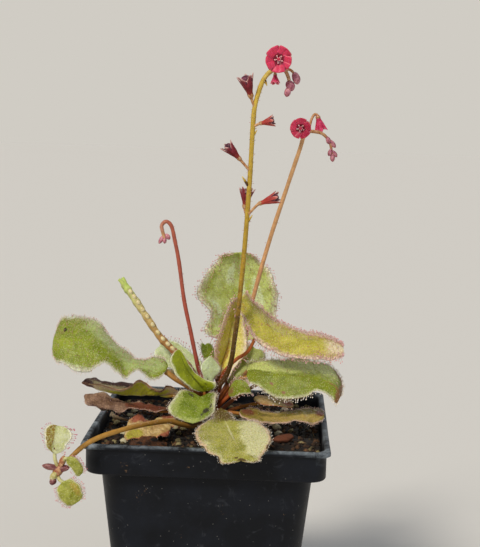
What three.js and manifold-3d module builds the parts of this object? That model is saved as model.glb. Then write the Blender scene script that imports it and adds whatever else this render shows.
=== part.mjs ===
// Potted sundew: a square nursery pot full of peat, a rosette of kidney-shaped leaves
// with tentacled margins, three flower scapes and a runner that carries a plantlet.
// Millimetres, +Z up. The origin is the centre of the pot's underside; the pot's front
// faces -Y. Every margin, midrib and stem is a short list of points chosen by hand.
import * as THREE from 'three';
import { mergeVertices } from 'three/addons/utils/BufferGeometryUtils.js';
import Module from 'manifold-3d';

const wasm = await Module();
wasm.setup();

// Driving dimensions of the pot
const pot = {
  height: 75,
  lipHalf: 35,
  lipDeep: 1.5,
  lipCorner: 2.5,
  bandHalf: 34,
  bandDeep: 9,
  bandCorner: 5,
  stepHalf: 30.5,
  baseHalf: 23.7,
  bodyCorner: 7,
  wall: 0.9,
  floor: 1.5,
  edge: 0.4,
  drainRadius: 3,
  drainPlace: 13,
};

// Driving dimensions of the soil
const soil = {
  level: 70.6,
  swell: 0.55,
  gap: 0.3,
  rings: 5,
  granules: 24,
  granuleSmall: 0.9,
  granuleLarge: 1.7,
  granuleMargin: 3,
  seed: 14,
};

// The crown is the short upright stem that every leaf and scape grows from
const crown = { x: -0.2, y: -0.8, bottom: 64, top: 83, radius: 2.3, sides: 10, hole: 2.7 };

// Shared sizes of the plant
const touchGap = 0.3;
const leafThick = 0.62;
const tentacleLong = 1.7;
const tentacleRoot = 0.2;
const tentacleStep = 3.8;
const tentacleClear = 1.5;
const tentacleLift = 0.12;
const tentacleSunk = 0.45;
const midribUnder = 0.42;
const midribEnd = 0.35;
const narrowest = 0.07;
const thirdTurn = 2 * Math.PI / 3;
const petalThick = 0.6;
const upperSide = new THREE.Vector3(0, -0.6, 0.8);

// Colours
const colours = {
  pot: '#2b2c30',
  soil: '#3a2a20',
  crown: '#7a3f26',
  green: '#9fb23f',
  yellow: '#b9bf3f',
  pale: '#c3cf8d',
  olive: '#8f8a3c',
  dry: '#a8785a',
  tan: '#c8a66a',
  rust: '#7c4a2a',
  stick: '#bda66a',
  scapeTall: '#b08a3a',
  scapePeach: '#cf9f78',
  scapePink: '#b5685e',
  runner: '#c29a4c',
  crimson: '#c01f45',
  pink: '#dd6f96',
  mauve: '#b57f8f',
  maroon: '#6e2434',
  bark: '#6b3a22',
  twig: '#9a8a76',
};

const group = new THREE.Group();
const vector = (p) => new THREE.Vector3(p[0], p[1], p[2]);

// A seeded random number from 0 to 1
function randomFrom(seed) {
  let state = seed >>> 0;
  return () => {
    state = (state * 1664525 + 1013904223) >>> 0;
    return state / 4294967296;
  };
}

// Solids from points and triangles; a shape wound inside out is turned round
function solidFrom(points, faces) {
  let volume = 0;
  for (const [a, b, c] of faces) {
    volume += points[a].dot(new THREE.Vector3().crossVectors(points[b], points[c]));
  }
  const vertProperties = new Float32Array(points.length * 3);
  points.forEach((p, i) => p.toArray(vertProperties, i * 3));
  const triVerts = new Uint32Array(faces.length * 3);
  faces.forEach(([a, b, c], i) => triVerts.set(volume < 0 ? [a, c, b] : [a, b, c], i * 3));
  return new wasm.Manifold(new wasm.Mesh({ numProp: 3, vertProperties, triVerts }));
}

function solidFromGeometry(geometry) {
  geometry.deleteAttribute('normal');
  geometry.deleteAttribute('uv');
  const merged = mergeVertices(geometry, 1e-4);
  const place = merged.getAttribute('position');
  const points = [];
  for (let i = 0; i < place.count; i += 1) {
    points.push(new THREE.Vector3().fromBufferAttribute(place, i));
  }
  const faces = [];
  for (let i = 0; i < merged.index.count; i += 3) {
    const face = [merged.index.getX(i), merged.index.getX(i + 1), merged.index.getX(i + 2)];
    if (new Set(face).size === 3) faces.push(face);
  }
  return solidFrom(points, faces);
}

// Rings of equal count joined one to the next, closed by a fan at each end
function solidFromRings(rings) {
  const count = rings[0].length;
  const points = rings.flat();
  const faces = [];
  for (let i = 0; i + 1 < rings.length; i += 1) {
    for (let j = 0; j < count; j += 1) {
      const a = i * count + j;
      const b = i * count + ((j + 1) % count);
      faces.push([a, b, b + count], [a, b + count, a + count]);
    }
  }
  const middle = (ring) => ring.reduce((sum, p) => sum.add(p), new THREE.Vector3())
    .divideScalar(ring.length);
  const first = points.push(middle(rings[0])) - 1;
  const last = points.push(middle(rings.at(-1))) - 1;
  const start = (rings.length - 1) * count;
  for (let j = 0; j < count; j += 1) {
    const next = (j + 1) % count;
    faces.push([first, next, j], [last, start + j, start + next]);
  }
  return solidFrom(points, faces);
}

function addNode(name, solid, colour, roughness = 0.6) {
  const mesh = solid.getMesh();
  const place = new Float32Array(mesh.numVert * 3);
  for (let i = 0; i < mesh.numVert; i += 1) {
    for (let k = 0; k < 3; k += 1) place[i * 3 + k] = mesh.vertProperties[i * mesh.numProp + k];
  }
  const geometry = new THREE.BufferGeometry();
  geometry.setAttribute('position', new THREE.BufferAttribute(place, 3));
  geometry.setIndex(new THREE.BufferAttribute(new Uint32Array(mesh.triVerts), 1));
  const material = new THREE.MeshStandardMaterial({ color: colour, roughness, metalness: 0 });
  const node = new THREE.Mesh(geometry, material);
  node.name = name;
  group.add(node);
}

// Pot and soil are stacks of rounded squares
function squareRing(half, corner, z, perSide = 0, perCorner = 4) {
  const points = [];
  const middle = half - corner;
  for (let side = 0; side < 4; side += 1) {
    const turn = side * Math.PI / 2;
    const cx = middle * (side === 0 || side === 3 ? 1 : -1);
    const cy = middle * (side < 2 ? 1 : -1);
    for (let k = 0; k < perCorner; k += 1) {
      const angle = turn + (k / (perCorner - 1)) * Math.PI / 2;
      points.push(new THREE.Vector3(cx + corner * Math.cos(angle), cy + corner * Math.sin(angle), z));
    }
    for (let k = 1; k <= perSide; k += 1) {
      const along = middle * (1 - 2 * k / (perSide + 1));
      const out = new THREE.Vector3(along, half, z);
      points.push(out.applyAxisAngle(new THREE.Vector3(0, 0, 1), turn));
    }
  }
  return points;
}

const bandBottom = pot.height - pot.bandDeep;
const lipBottom = pot.height - pot.lipDeep;

function makePot() {
  const rings = [
    squareRing(pot.baseHalf - pot.edge, pot.bodyCorner - pot.edge, 0),
    squareRing(pot.baseHalf, pot.bodyCorner, pot.edge),
    squareRing(pot.stepHalf, pot.bodyCorner, bandBottom),
    squareRing(pot.bandHalf - pot.edge, pot.bandCorner, bandBottom),
    squareRing(pot.bandHalf, pot.bandCorner, bandBottom + 2 * pot.edge),
    squareRing(pot.bandHalf, pot.bandCorner, lipBottom),
    squareRing(pot.lipHalf, pot.lipCorner, lipBottom),
    squareRing(pot.lipHalf, pot.lipCorner, pot.height - pot.edge),
    squareRing(pot.lipHalf - pot.edge, pot.lipCorner, pot.height),
    squareRing(pot.lipHalf - pot.wall - pot.edge, pot.lipCorner, pot.height),
    squareRing(pot.bandHalf - pot.wall, pot.bandCorner - pot.wall, lipBottom - pot.edge),
    squareRing(pot.bandHalf - pot.wall, pot.bandCorner - pot.wall, bandBottom + pot.wall),
    squareRing(pot.stepHalf - pot.wall, pot.bodyCorner - pot.wall, bandBottom + pot.wall),
    squareRing(pot.baseHalf - pot.wall, pot.bodyCorner - pot.wall, pot.floor),
  ];
  let solid = solidFromRings(rings);
  for (const x of [-1, 1]) {
    for (const y of [-1, 1]) {
      const drain = new THREE.CylinderGeometry(pot.drainRadius, pot.drainRadius, 4 * pot.floor, 8);
      drain.rotateX(Math.PI / 2).translate(x * pot.drainPlace, y * pot.drainPlace, 0);
      solid = solid.subtract(solidFromGeometry(drain));
    }
  }
  addNode('pot', solid, colours.pot, 0.5);
}

// The soil's surface swells and dips; nothing is lower than a millimetre under its level
function soilHeight(x, y) {
  const long = Math.sin(0.21 * x + 0.8) * Math.cos(0.17 * y - 0.4);
  const short = Math.sin(0.55 * x - 1.1 + 0.2 * y) * Math.sin(0.48 * y + 0.6);
  return soil.level + soil.swell * (long + 0.6 * short);
}

// Where a leaf, the crown or a fallen piece meets the soil, no granule stands
const granuleFree = [
  { x: -0.2, y: -0.8, reach: 5.5 },
  { x: -17, y: -16, reach: 10.5 },
  { x: -29, y: 2, reach: 5.5 },
  { x: 21.7, y: -13, reach: 5 },
];

function makeSoil() {
  const top = pot.bandHalf - pot.wall - soil.gap;
  const corner = pot.bandCorner - pot.wall;
  const low = pot.baseHalf - pot.wall - soil.gap;
  const step = pot.stepHalf - pot.wall - soil.gap;
  const bodyCorner = pot.bodyCorner - pot.wall;
  const shelf = bandBottom + pot.wall + soil.gap;
  const perSide = 4;
  const rings = [
    squareRing(low, bodyCorner, pot.floor + soil.gap, perSide),
    squareRing(step, bodyCorner, shelf, perSide),
    squareRing(top, corner, shelf, perSide),
  ];
  for (let k = 0; k < soil.rings; k += 1) {
    const share = 1 - k / soil.rings;
    const ring = squareRing(top, corner, 0, perSide);
    ring.forEach((p) => {
      p.multiplyScalar(share);
      p.z = soilHeight(p.x, p.y);
    });
    rings.push(ring);
  }
  let solid = solidFromRings(rings);
  const random = randomFrom(soil.seed);
  let placed = 0;
  while (placed < soil.granules) {
    const x = (2 * random() - 1) * (top - soil.granuleMargin);
    const y = (2 * random() - 1) * (top - soil.granuleMargin);
    const size = soil.granuleSmall + random() * (soil.granuleLarge - soil.granuleSmall);
    const turn = random() * 2 * Math.PI;
    const free = granuleFree.every((spot) => Math.hypot(x - spot.x, y - spot.y) > spot.reach);
    if (!free) continue;
    const stone = new THREE.OctahedronGeometry(size, 0);
    stone.scale(1.1, 0.9, 0.85).rotateX(0.5 * turn).rotateZ(turn);
    stone.translate(x, y, soilHeight(x, y) + 0.2 * size);
    solid = solid.add(solidFromGeometry(stone));
    placed += 1;
  }
  const hole = new THREE.CylinderGeometry(crown.hole, crown.hole, 20, 12);
  hole.rotateX(Math.PI / 2).translate(crown.x, crown.y, crown.bottom - touchGap + 10);
  addNode('soil', solid.subtract(solidFromGeometry(hole)), colours.soil, 1);
}

// Tubes follow a smooth curve through their points, with a radius at each point
function tubeSolid(points, radii, sides = 6, perSpan = 2, fatter = 0) {
  const curve = new THREE.CatmullRomCurve3(points.map(vector), false, 'catmullrom', 0.5);
  const steps = (points.length - 1) * perSpan;
  const rings = [];
  let across = new THREE.Vector3(0.31, 0.17, 0.93);
  for (let i = 0; i <= steps; i += 1) {
    const t = i / steps;
    const centre = curve.getPoint(t);
    const ahead = curve.getPoint(Math.min(1, t + 0.01));
    const behind = curve.getPoint(Math.max(0, t - 0.01));
    const tangent = ahead.sub(behind).normalize();
    if (i === 0 && Math.abs(tangent.z) > 0.8) across = new THREE.Vector3(1, 0.1, 0);
    across = across.sub(tangent.clone().multiplyScalar(across.dot(tangent))).normalize();
    const other = new THREE.Vector3().crossVectors(tangent, across);
    const span = t * (radii.length - 1);
    const k = Math.min(radii.length - 2, Math.floor(span));
    const radius = radii[k] + (radii[k + 1] - radii[k]) * (span - k) + fatter;
    const ring = [];
    for (let j = 0; j < sides; j += 1) {
      const angle = j / sides * 2 * Math.PI;
      ring.push(centre.clone()
        .addScaledVector(across, radius * Math.cos(angle))
        .addScaledVector(other, radius * Math.sin(angle)));
    }
    rings.push(ring);
  }
  return solidFromRings(rings);
}

// A blade is a sheet between a left and a right margin, with its midrib as spine. The
// spine has one point more at each end than the margins, which close on it there in a
// round (power 1) or a drawn-out (power above 1) end.
function bladeSheet(leaf) {
  const spans = leaf.spine.length - 1;
  const spine = new THREE.CatmullRomCurve3(leaf.spine.map(vector), false, 'catmullrom', 0.5);
  const offsets = (margin) => margin.map((p, i) => vector(p).sub(vector(leaf.spine[i + 1])));
  const through = (list) => (list.length === 1 ? () => list[0].clone() : (() => {
    const curve = new THREE.CatmullRomCurve3(list, false, 'catmullrom', 0.5);
    return (t) => curve.getPoint(t);
  })());
  const margins = [through(offsets(leaf.left)), through(offsets(leaf.right))];
  const closing = (v, power) => Math.pow(Math.sqrt(Math.max(0, 1 - (1 - v) ** 2)), power);
  const [waves, waveHigh, wavePhase] = leaf.wave ?? [0, 0, 0];
  const plain = (u, t) => {
    const inner = Math.min(1, Math.max(0, (u - 1) / Math.max(1, spans - 2)));
    const baseShare = u < 1 ? closing(u, leaf.base ?? 1) : 1;
    const tipShare = u > spans - 1 ? closing(spans - u, leaf.tip ?? 1) : 1;
    const share = Math.max(narrowest, Math.min(baseShare, tipShare));
    const side = margins[t < 0 ? 0 : 1](inner).multiplyScalar(Math.abs(t) * share);
    return spine.getPoint(u / spans).add(side);
  };
  const rawNormal = (u, t) => {
    const du = plain(Math.min(spans, u + 0.02), t).sub(plain(Math.max(0, u - 0.02), t));
    const dt = plain(u, Math.min(1, t + 0.3)).sub(plain(u, Math.max(-1, t - 0.3)));
    return new THREE.Vector3().crossVectors(du, dt).normalize();
  };
  const upper = rawNormal(spans / 2, 0).dot(upperSide) < 0 ? -1 : 1;
  const normal = (u, t) => rawNormal(u, t).multiplyScalar(upper);
  const point = (u, t) => {
    const swing = Math.sin(2 * Math.PI * (waves * u / spans + wavePhase) + (t < 0 ? 0 : 1.9));
    const ends = Math.min(1, 2 * Math.min(u, spans - u));
    return plain(u, t).addScaledVector(normal(u, t), waveHigh * swing * t * t * ends);
  };
  return { spans, point, normal };
}

function bladeSolid(sheet, across, along, endRows, thick) {
  const rows = [];
  for (let i = 0; i < endRows; i += 1) rows.push(1 - Math.cos(i / endRows * Math.PI / 2));
  for (let i = 0; i <= (sheet.spans - 2) * along; i += 1) rows.push(1 + i / along);
  for (let i = endRows - 1; i >= 0; i -= 1) {
    rows.push(sheet.spans - 1 + Math.cos(i / endRows * Math.PI / 2));
  }
  const points = [];
  for (const face of [1, -1]) {
    for (const u of rows) {
      for (let j = 0; j <= across; j += 1) {
        const t = 2 * j / across - 1;
        points.push(sheet.point(u, t).addScaledVector(sheet.normal(u, t), face * thick / 2));
      }
    }
  }
  const wide = across + 1;
  const under = rows.length * wide;
  const faces = [];
  const wall = (a, b) => faces.push([a, b, b + under], [a, b + under, a + under]);
  for (let i = 0; i + 1 < rows.length; i += 1) {
    for (let j = 0; j < across; j += 1) {
      const a = i * wide + j;
      const b = a + wide;
      faces.push([a, a + 1, b + 1], [a, b + 1, b]);
      faces.push([a + under, b + 1 + under, a + 1 + under], [a + under, b + under, b + 1 + under]);
    }
    wall(i * wide, i * wide + wide);
    wall(i * wide + wide + across, i * wide + across);
  }
  for (let j = 0; j < across; j += 1) {
    wall(j + 1, j);
    wall(under - wide + j, under - wide + j + 1);
  }
  return solidFrom(points, faces);
}

// Places already taken, so that a tentacle isn't grown into a neighbour
const taken = [];

function rememberSheet(name, sheet) {
  for (let u = 0.1; u < sheet.spans; u += 0.3) {
    for (let t = -1; t <= 1; t += 0.25) taken.push([name, sheet.point(u, t)]);
  }
}

function rememberTube(name, points) {
  const curve = new THREE.CatmullRomCurve3(points.map(vector), false, 'catmullrom', 0.5);
  for (const p of curve.getPoints(points.length * 5)) taken.push([name, p]);
}

function isFree(name, tip) {
  return taken.every(([other, p]) => other === name || p.distanceTo(tip) > tentacleClear);
}

// Tentacles stand along both margins at even steps, as slim three-sided spikes
function marginTentacles(name, sheet, step, long) {
  const spikes = [];
  for (const side of [-1, 1]) {
    let walked = step / 2;
    let last = sheet.point(0.35, side);
    for (let u = 0.36; u < sheet.spans - 0.01; u += 0.01) {
      const here = sheet.point(u, side);
      walked += here.distanceTo(last);
      last = here;
      if (walked < step) continue;
      walked = 0;
      const out = here.clone().sub(sheet.point(u, side * 0.8)).normalize();
      const lift = sheet.normal(u, side * 0.9);
      out.addScaledVector(lift, tentacleLift).normalize();
      const tip = here.clone().addScaledVector(out, long);
      if (!isFree(name, tip)) continue;
      const root = here.clone().addScaledVector(out, -tentacleSunk);
      const along = new THREE.Vector3().crossVectors(out, lift).normalize();
      const over = new THREE.Vector3().crossVectors(out, along);
      const corners = [0, 1, 2].map((k) => root.clone()
        .addScaledVector(along, tentacleRoot * Math.cos(k * thirdTurn))
        .addScaledVector(over, tentacleRoot * Math.sin(k * thirdTurn)));
      spikes.push(solidFrom([...corners, tip], [[0, 1, 2], [0, 3, 1], [1, 3, 2], [2, 3, 0]]));
    }
  }
  return spikes;
}

// A spike cut loose from its leaf is left out
function largestOf(solid) {
  return solid.decompose().reduce((a, b) => (a.volume() > b.volume() ? a : b));
}

// Leaf: blade, its stalk from the crown and under the blade as midrib, and tentacles
const leafJobs = [];

function leaf(name, spec) {
  const sheet = bladeSheet(spec);
  rememberSheet(name, sheet);
  if (spec.stalk) rememberTube(name, spec.stalk);
  leafJobs.push({ name, spec, sheet });
}

function growLeaf({ name, spec, sheet }) {
  let solid = bladeSolid(sheet, spec.across ?? 6, spec.along ?? 2, 3, leafThick);
  if (spec.stalk) {
    const under = (spec.join ?? [0.5, 1.1, 1.8]).map((u) => sheet.point(u, 0)
      .addScaledVector(sheet.normal(u, 0), -midribUnder).toArray());
    const [stout, slim] = spec.stalkRadius ?? [0.75, 0.55];
    const radii = [stout, slim, slim, midribEnd];
    solid = solid.add(tubeSolid([...spec.stalk, ...under], radii, 5, 1));
  }
  const step = spec.step ?? tentacleStep;
  const long = spec.long ?? tentacleLong;
  for (const spike of marginTentacles(name, sheet, step, long)) solid = solid.add(spike);
  for (const cut of spec.clearOf ?? [crownFat]) solid = solid.subtract(cut);
  addNode(name, largestOf(solid), spec.colour, 0.45);
}

// Crown
function crownProfile(fatter) {
  const shape = [
    [0, crown.bottom - fatter],
    [crown.radius * 0.8 + fatter, crown.bottom - fatter],
    [crown.radius + fatter, 71],
    [crown.radius + fatter, 78],
    [crown.radius * 0.9 + fatter, 81],
    [crown.radius * 0.55 + fatter, crown.top - 0.5 + fatter],
    [0, crown.top + fatter],
  ].map(([r, z]) => new THREE.Vector2(r, z));
  const body = new THREE.LatheGeometry(shape, crown.sides);
  return solidFromGeometry(body.rotateX(Math.PI / 2).translate(crown.x, crown.y, 0));
}

const crownFat = crownProfile(touchGap);
addNode('crown', crownProfile(0), colours.crown, 0.7);
makePot();
makeSoil();

// Scapes and the runner
const scapes = {
  scape_tall: {
    points: [
      [-0.1, -2.4, 80], [0, -3.6, 82.6], [0.7, -4, 84.3], [2.2, -4.3, 86], [4, -5, 88.8], [5.4, -6, 93.6],
      [6.3, -7.5, 100.5], [7.2, -8.8, 109], [8.2, -9, 122], [9, -9, 136], [9.6, -9, 150], [10, -9, 164],
      [10.5, -9, 170], [12.2, -9, 176], [14, -9.3, 178.8], [16.2, -9.6, 180.3],
    ],
    radii: [0.85, 0.75, 0.7, 0.7, 0.65],
    colour: colours.scapeTall,
  },
  scape_leaning: {
    points: [
      [1.1, 0.5, 80], [3.4, 3.4, 83], [5.2, 6.6, 86.6], [7.5, 10, 90.8], [9.4, 12.5, 99.7], [11, 13, 110],
      [15.6, 12, 128.6], [21, 11.2, 147], [24, 10.4, 157], [25, 10, 160.6], [26.4, 9.8, 162.6],
    ],
    radii: [0.8, 0.7, 0.65, 0.6],
    colour: colours.scapePeach,
  },
  scape_short: {
    points: [
      [-1.5, 0.2, 80], [-2.6, 1.6, 84], [-4.7, 3, 88], [-6, 3, 93], [-7.8, 3, 101], [-9.9, 3, 110.3],
      [-11.7, 3, 121.9], [-13.1, 3, 128.6], [-14.2, 3, 132.8], [-15.8, 3, 134.2],
      [-17.2, 3, 133], [-16.9, 3, 131],
    ],
    radii: [0.75, 0.65, 0.6, 0.6, 0.55],
    colour: colours.scapePink,
  },
  runner: {
    points: [
      [-0.8, -2.5, 73.6], [-2.4, -7, 74], [-5.5, -13, 75.1], [-8.6, -17, 76.8], [-12.1, -20.5, 78.5],
      [-18.7, -29, 79.4], [-23.7, -34, 79.1], [-28.8, -37, 77.9], [-32.6, -39, 76.1],
      [-35, -41, 74.2], [-37, -42, 72],
    ],
    radii: [0.7, 0.75, 0.7, 0.65],
    colour: colours.runner,
  },
};

const scapeFat = {};
for (const [name, stem] of Object.entries(scapes)) {
  rememberTube(name, stem.points);
  scapeFat[name] = tubeSolid(stem.points, stem.radii, 6, 1, touchGap);
}

// Slender bracts hug the tall scape under each flower; they are part of it
const bracts = [
  { root: [9, -9.3, 146.6], tip: [7.3, -9.8, 149.2] },
  { root: [9.4, -8.9, 159.6], tip: [11.2, -9, 162.6] },
  { root: [8.7, -9, 135], tip: [10.6, -9.2, 138] },
  { root: [12.9, -9, 177.2], tip: [13.7, -9.4, 175.2] },
];

for (const [name, stem] of Object.entries(scapes)) {
  let solid = tubeSolid(stem.points, stem.radii, 6, 1);
  if (name === 'scape_tall') {
    for (const { root, tip } of bracts) solid = solid.add(tubeSolid([root, tip], [0.45, 0.15], 3, 1));
  }
  addNode(name, solid.subtract(crownFat), stem.colour, 0.6);
}

// Leaves, from the back to the front
leaf('leaf_back_upright', {
  stalk: [[0, 1.1, 76.8], [1.4, 5, 81.6], [3, 9.5, 87], [5.6, 15, 91.6]],
  spine: [
    [8, 20, 95], [7.7, 23, 99], [7.2, 26, 103.5], [6.6, 27.5, 108.8], [6.1, 28, 115], [5.7, 27, 119.8],
    [5.6, 25, 122.8],
  ],
  left: [[-4.6, 20.5, 98], [-3, 21.5, 103.6], [-7.4, 22, 108.6], [-5, 23, 115.4], [-0.7, 24, 120]],
  right: [[20, 20.5, 99.6], [18.6, 21.5, 104.3], [18.8, 22.5, 109.4], [16.6, 23.5, 116], [11.6, 24.5, 121]],
  across: 4,
  step: 4.4,
  join: [0.4, 1, 2],
  wave: [3, 0.4, 0.2],
  colour: colours.pale,
});
leaf('leaf_back_low_left', {
  stalk: [[-1.6, 0.2, 75.4], [-4.2, 6, 79.2], [-6, 11, 82]],
  spine: [[-7, 12.5, 82.4], [-10, 17, 83.5], [-13, 22, 83.8], [-15, 26.5, 82.4]],
  left: [[-16, 14.5, 84.2], [-20, 21, 83.6]],
  right: [[-3.5, 20, 84.2], [-6, 26, 83.2]],
  across: 4,
  along: 1,
  step: 5.5,
  colour: colours.olive,
});
leaf('leaf_back_low_right', {
  stalk: [[1.5, 0.2, 75.8], [6, 5.5, 79], [12, 11, 82]],
  spine: [[13.5, 12, 82.6], [17, 15.5, 84], [21, 19, 84.3], [25, 22, 82.6]],
  left: [[12.5, 20.5, 84.8], [17, 25.5, 84]],
  right: [[22.5, 12, 84.4], [26.5, 15, 84]],
  across: 4,
  along: 1,
  step: 5.5,
  colour: colours.olive,
});
leaf('leaf_right_yellow', {
  stalk: [[1.1, -1, 81.6], [2.1, -1.5, 86], [3.4, -2, 89.6], [6.6, -2, 93.2], [10.6, -2.5, 96.6]],
  spine: [
    [8, -2, 112.6], [10, -2.2, 110.2], [14.3, -3, 105.4], [20.7, -4, 101.5], [27.3, -6, 100.4],
    [33.2, -8, 100], [38.6, -10.5, 99.3],
  ],
  left: [[10.4, 1.6, 112], [15, 4, 107], [21, 4, 103.4], [27.4, 2, 102.1], [33.7, -1.5, 101.5]],
  right: [[7.8, -5.3, 107.6], [12.7, -7.6, 100.8], [19.1, -9.5, 97.2], [26.8, -11, 96], [34, -12, 96.7]],
  join: [2.1, 2.7, 3.4],
  wave: [4, 0.35, 0.1],
  colour: colours.yellow,
});
leaf('leaf_right_trough', {
  stalk: [[0.5, 0.1, 80.9], [0.9, 1.2, 83]],
  stalkRadius: [0.95, 0.9],
  spine: [[1.3, 2, 84.8], [1.9, 4.5, 89.7], [3.5, 6, 96.1], [4.9, 5.5, 103.5], [7, 3.6, 111.4]],
  left: [[0, 1.8, 89.2], [-0.1, 1.2, 96], [2.4, 1.8, 105.4]],
  right: [[5.6, 2, 88.6], [9.8, 3.4, 95.2], [8.9, 4.4, 104.4]],
  join: [0.2, 0.6],
  base: 1.4,
  across: 4,
  colour: colours.tan,
});
leaf('leaf_right_green', {
  stalk: [[1.6, -1.7, 79.2], [3.6, -2.6, 83.4], [6.4, -3, 86.6]],
  spine: [
    [10.4, -3, 89.8], [14.8, -5.5, 90], [20.5, -7.5, 90], [26.7, -9, 90.3], [32.4, -10, 90],
    [36.6, -11.5, 88.4], [37.8, -13, 85],
  ],
  left: [[12.8, 1, 92.2], [20.3, 4, 92.8], [27.7, 4, 93], [34, 1, 92.4], [38.2, -3, 89.5]],
  right: [[13.2, -8, 87], [20.1, -11.5, 84], [26.8, -13, 85.1], [31.4, -13.5, 87.2], [35.4, -14, 85.7]],
  wave: [4, 0.25, 0.4],
  colour: colours.green,
});
leaf('leaf_right_narrow', {
  stalk: [[1.5, -1.9, 75.4], [4.4, -3.6, 77.2]],
  spine: [
    [8.5, -6, 78.3], [13.1, -7, 77.9], [19.1, -8, 77.2], [25.7, -9, 78.3], [30.7, -8, 78.6],
    [34, -6.4, 78.2],
  ],
  left: [[12.9, -3.4, 78.5], [19.1, -4, 77.7], [25.7, -4, 78.9], [30.4, -3.6, 79.7]],
  right: [[11.7, -10, 76.9], [18.6, -11, 76.3], [25.7, -12, 77.3], [30.6, -10.4, 76.6]],
  across: 4,
  base: 1.4,
  along: 1,
  wave: [2, 0.3, 0.1],
  colour: colours.olive,
});
leaf('leaf_right_low', {
  stalk: [[1.9, -0.3, 74.4], [6.5, 0, 77.4]],
  spine: [[12.5, -1.8, 81.2], [16.8, -4, 81], [21, -5, 81], [24.5, -6, 80.6]],
  left: [[16.8, -0.4, 82], [21.2, -1.6, 82]],
  right: [[16.3, -6.6, 80.4], [21, -7.6, 80.4]],
  across: 4,
  along: 1,
  step: 5,
  colour: colours.tan,
});
leaf('leaf_crown_back', {
  stalk: [[1.6, -0.3, 78], [3.6, 0.8, 81]],
  spine: [[5.3, 1.8, 83.8], [6.9, 3.8, 86.9], [9.2, 5.6, 90.5], [12.5, 6.8, 95]],
  left: [[4.2, 5.6, 87.9], [5.9, 8, 93.4]],
  right: [[10.7, 2.8, 86.6], [14.7, 5, 90.7]],
  across: 4,
  wave: [2, 0.3, 0.1],
  colour: colours.pale,
});
leaf('leaf_crown_front', {
  stalk: [[0.8, -2.3, 77.4], [3, -3.9, 80.4]],
  spine: [[4.8, -4.7, 83.2], [7.2, -5.8, 85.3], [9.4, -6.8, 86], [11.6, -8, 85.2]],
  left: [[7, -5, 88], [9.2, -5.8, 88]],
  right: [[8, -8.6, 83.9], [10.8, -9.4, 84.6]],
  across: 4,
  wave: [2, 0.25, 0.3],
  colour: colours.green,
});
leaf('leaf_back_pale', {
  stalk: [[-0.8, 0.9, 77.4], [-1.4, 3.4, 81.6]],
  spine: [[-2.9, 4.8, 85], [-6.8, 7.2, 88], [-11.9, 9, 91], [-18, 10, 94]],
  left: [[-9.9, 6, 85.8], [-16.4, 7, 88.7]],
  right: [[-5.3, 9, 90.6], [-11.5, 11, 95]],
  across: 4,
  along: 1,
  colour: colours.pale,
});
leaf('leaf_back_small', {
  stalk: [[-0.7, 0.3, 82], [-0.9, 2.9, 85]],
  spine: [[-0.5, 4.8, 87.2], [-2, 6.6, 90.5], [-3.4, 7.2, 95.6]],
  left: [[-4.4, 6.4, 93]],
  right: [[-0.4, 7.8, 93.3]],
  across: 4,
  colour: colours.green,
});
leaf('leaf_left_large', {
  stalk: [[-2, -1.2, 79], [-3.7, -1.9, 81.6], [-7, -3.6, 84.6], [-11.4, -4.6, 87.4]],
  stalkRadius: [1, 0.9],
  spine: [
    [-13.7, -4.5, 90.9], [-17.2, -6, 91], [-22.2, -7, 91.8], [-26, -7.5, 92.3], [-31, -8.5, 95.7],
    [-35.8, -9, 97.5], [-40.7, -8.5, 98.5], [-45.2, -7.5, 98.4], [-48.6, -5.5, 97],
  ],
  left: [
    [-17.8, -10.5, 88.2], [-22.1, -10.5, 90.8], [-25.6, -12, 88.4], [-31.1, -12.5, 93.2],
    [-36.3, -14, 90.7], [-41.1, -14, 91.3], [-44.8, -12.5, 92.6],
  ],
  right: [
    [-17.8, -1, 93], [-21.6, -2, 92.2], [-25.1, -1, 92.9], [-31.4, 1.5, 97.6],
    [-36.8, 4, 102.6], [-42, 5, 103.9], [-46.2, 4, 103.7],
  ],
  along: 2,
  wave: [3, 0.3, 0.15],
  colour: colours.green,
});
leaf('leaf_crown_mint', {
  stalk: [[-0.6, -1.5, 82], [-1.2, -1.9, 83.4]],
  stalkRadius: [0.6, 0.5],
  spine: [[-1.6, -2.2, 84.5], [-1.5, -2.2, 87.3], [-1.4, -1.9, 90.4], [-1.4, -1.2, 94]],
  left: [[-3, -2.8, 87.3], [-3.9, -2.8, 90.5]],
  right: [[0.3, -1.6, 87.1], [2.2, -1, 89.7]],
  across: 4,
  along: 1,
  tip: 2,
  step: 2.8,
  long: 1.2,
  colour: colours.pale,
});
leaf('leaf_crown_bright', {
  stalk: [[-1.3, -2.5, 80.6], [-2.2, -4, 82.2]],
  stalkRadius: [0.6, 0.5],
  spine: [
    [-2.4, -4.4, 83.6], [-4, -4.9, 85.6], [-6.4, -5, 88.4], [-8.8, -4.8, 91.9], [-10.5, -4.4, 96.3],
  ],
  left: [[-7, -6.8, 85.6], [-10.5, -7.6, 88.7], [-12.6, -6.8, 92.6]],
  right: [[0.9, -6.6, 86.9], [-4.3, -4.8, 88.7], [-7.5, -4.8, 92.4]],
  across: 4,
  tip: 1.5,
  step: 2.8,
  long: 1,
  colour: colours.green,
});
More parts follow.
